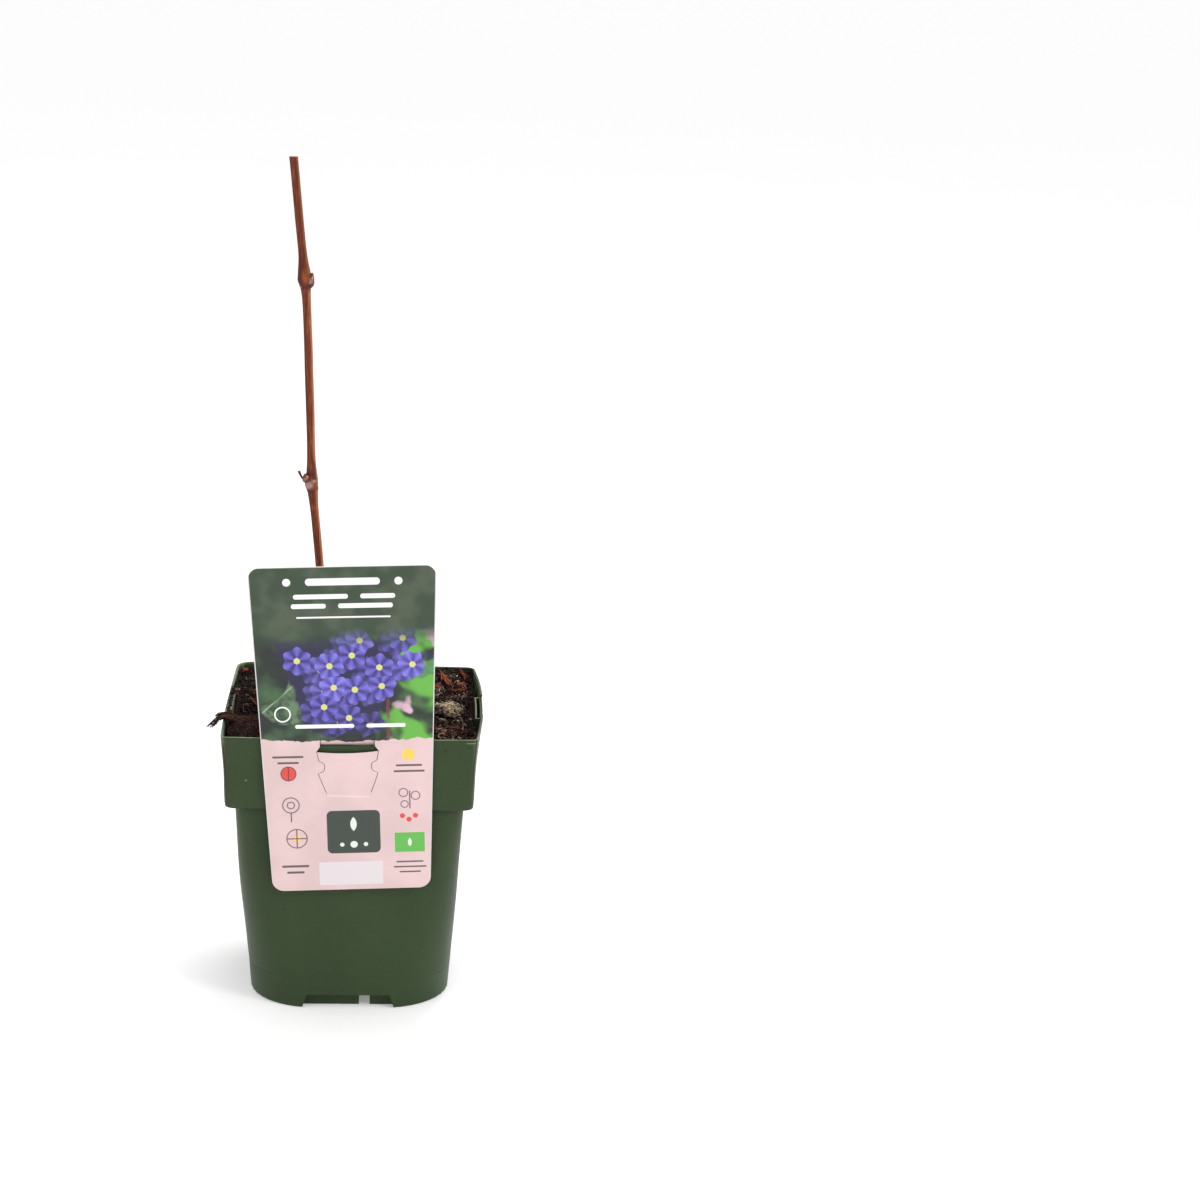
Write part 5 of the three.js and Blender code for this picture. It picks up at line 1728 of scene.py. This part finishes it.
class VINE_OT_clump(Operator):
    """Build the pale dry clump and the tuft of fibre"""
    bl_idname = "vine.clump"
    bl_label = "Clump and tuft"

    def execute(self, context):
        has = settings(context)
        pale = crumb_finish(
            "dry_clump", (0.08, rgb(22, 15, 12)), (0.32, rgb(96, 80, 72)),
            (0.55, tuple(has.tints.clump)), (0.90, rgb(226, 210, 178)))
        show("dry_curls", make_clump(has.soil, has.counts), pale, ["peat_clump"])
        brown = crumb_finish(
            "matted_fibre", (0.1, shade(has.tints.fibre, 0.4)), (0.45, tuple(has.tints.fibre)),
            (0.7, rgb(74, 44, 34)), (0.95, rgb(124, 84, 64)))
        show("tuft_hairs", make_tuft(has.pot, has.soil, has.counts), brown, ["fibre_tuft"])
        return {"FINISHED"}


class VINE_OT_stage(Operator):
    """Set the pale floor, the soft lights and the camera"""
    bl_idname = "vine.stage"
    bl_label = "Stage"

    def execute(self, context):
        has = settings(context)
        scene = context.scene
        reach = 40000.0
        corners = reach * np.array([(-1, -1, 0), (1, -1, 0), (1, 1, 0), (-1, 1, 0)])
        mesh = to_mesh("floor", (corners, [np.array([[0, 1, 2, 3]])]))
        mesh.materials.append(floor_finish(has.tints))
        floor = bpy.data.objects.new("floor", mesh)
        scene.collection.objects.link(floor)

        world = bpy.data.worlds.new("studio")
        world.use_nodes = True
        world.node_tree.nodes["Background"].inputs["Color"].default_value = (1.0, 1.0, 1.0, 1.0)
        world.node_tree.nodes["Background"].inputs["Strength"].default_value = 0.80
        scene.world = world
        # round lamps: place, aim and size in metres, and power in watts
        for name, spot, aim, size, power in (
                ("key", (1.25, -0.95, 1.05), (0.0, 0.0, 0.14), 0.6, 11.0),
                ("fill", (-1.4, -1.1, 0.8), (0.0, 0.0, 0.12), 1.0, 4.0),
                ("top", (0.2, 0.5, 1.6), (0.0, 0.0, 0.1), 0.7, 9.0)):
            light = bpy.data.lights.new(name, "AREA")
            light.shape, light.size, light.energy = "DISK", size, power
            lamp = bpy.data.objects.new(name, light)
            away = unit(np.array(spot) - np.array(aim))
            across = unit(np.cross([0, 0, 1.0], away))
            turn = np.stack([across, np.cross(away, across), away], 1)
            lamp.matrix_world = Matrix.Translation(spot) @ Matrix(turn.tolist()).to_4x4()
            scene.collection.objects.link(lamp)

        # the photograph's camera, solved from the pot's corners
        sensor, focal_pixels, frame_pixels = 36.0, 2733.719, 1200
        lens = bpy.data.cameras.new("camera")
        lens.sensor_width, lens.lens = sensor, focal_pixels / frame_pixels * sensor
        lens.clip_start, lens.clip_end = 0.05, 100.0
        camera = bpy.data.objects.new("camera", lens)
        camera.matrix_world = Matrix((
            (0.9976843, -0.0159239, -0.0661244, 0.0273776),
            (-0.0597242, 0.2600560, -0.9637447, -1.1260636),
            (0.0325426, 0.9654622, 0.2585028, 0.4724062),
            (0.0, 0.0, 0.0, 1.0)))
        scene.collection.objects.link(camera)
        scene.camera = camera
        scene.view_settings.view_transform = "Standard"
        return {"FINISHED"}


class VINE_PT_panel(Panel):
    """Sizes, colours and pieces of the potted grapevine"""
    bl_idname = "VINE_PT_panel"
    bl_label = "Grapevine"
    bl_space_type = "VIEW_3D"
    bl_region_type = "UI"
    bl_category = "Grapevine"

    def draw(self, context):
        for operator in OPERATORS:
            self.layout.operator(operator.bl_idname)
        for name in GROUPS:
            group = getattr(context.scene, name)
            box = self.layout.box()
            for key in type(group).__annotations__:
                box.prop(group, key)


OPERATORS = (VINE_OT_pot, VINE_OT_soil, VINE_OT_cane, VINE_OT_card, VINE_OT_chips, VINE_OT_clump,
             VINE_OT_stage)
GROUPS = {
    "vine_pot": PotSizes, "vine_pot_details": PotDetails, "vine_soil": SoilSizes, "vine_cane": CaneSizes,
    "vine_card": CardSizes, "vine_counts": Counts, "vine_colours": Colours,
}


def register():
    for item in (*GROUPS.values(), *OPERATORS, VINE_PT_panel):
        bpy.utils.register_class(item)
    for name, group in GROUPS.items():
        setattr(bpy.types.Scene, name, PointerProperty(type=group))


def unregister():
    for name in GROUPS:
        delattr(bpy.types.Scene, name)
    for item in reversed((*GROUPS.values(), *OPERATORS, VINE_PT_panel)):
        bpy.utils.unregister_class(item)


def main():
    """Builds every piece and the stage."""
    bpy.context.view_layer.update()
    register()
    for build in (bpy.ops.vine.pot, bpy.ops.vine.soil, bpy.ops.vine.cane, bpy.ops.vine.card,
                  bpy.ops.vine.chips, bpy.ops.vine.clump, bpy.ops.vine.stage):
        build()


if __name__ == "__main__":
    main()
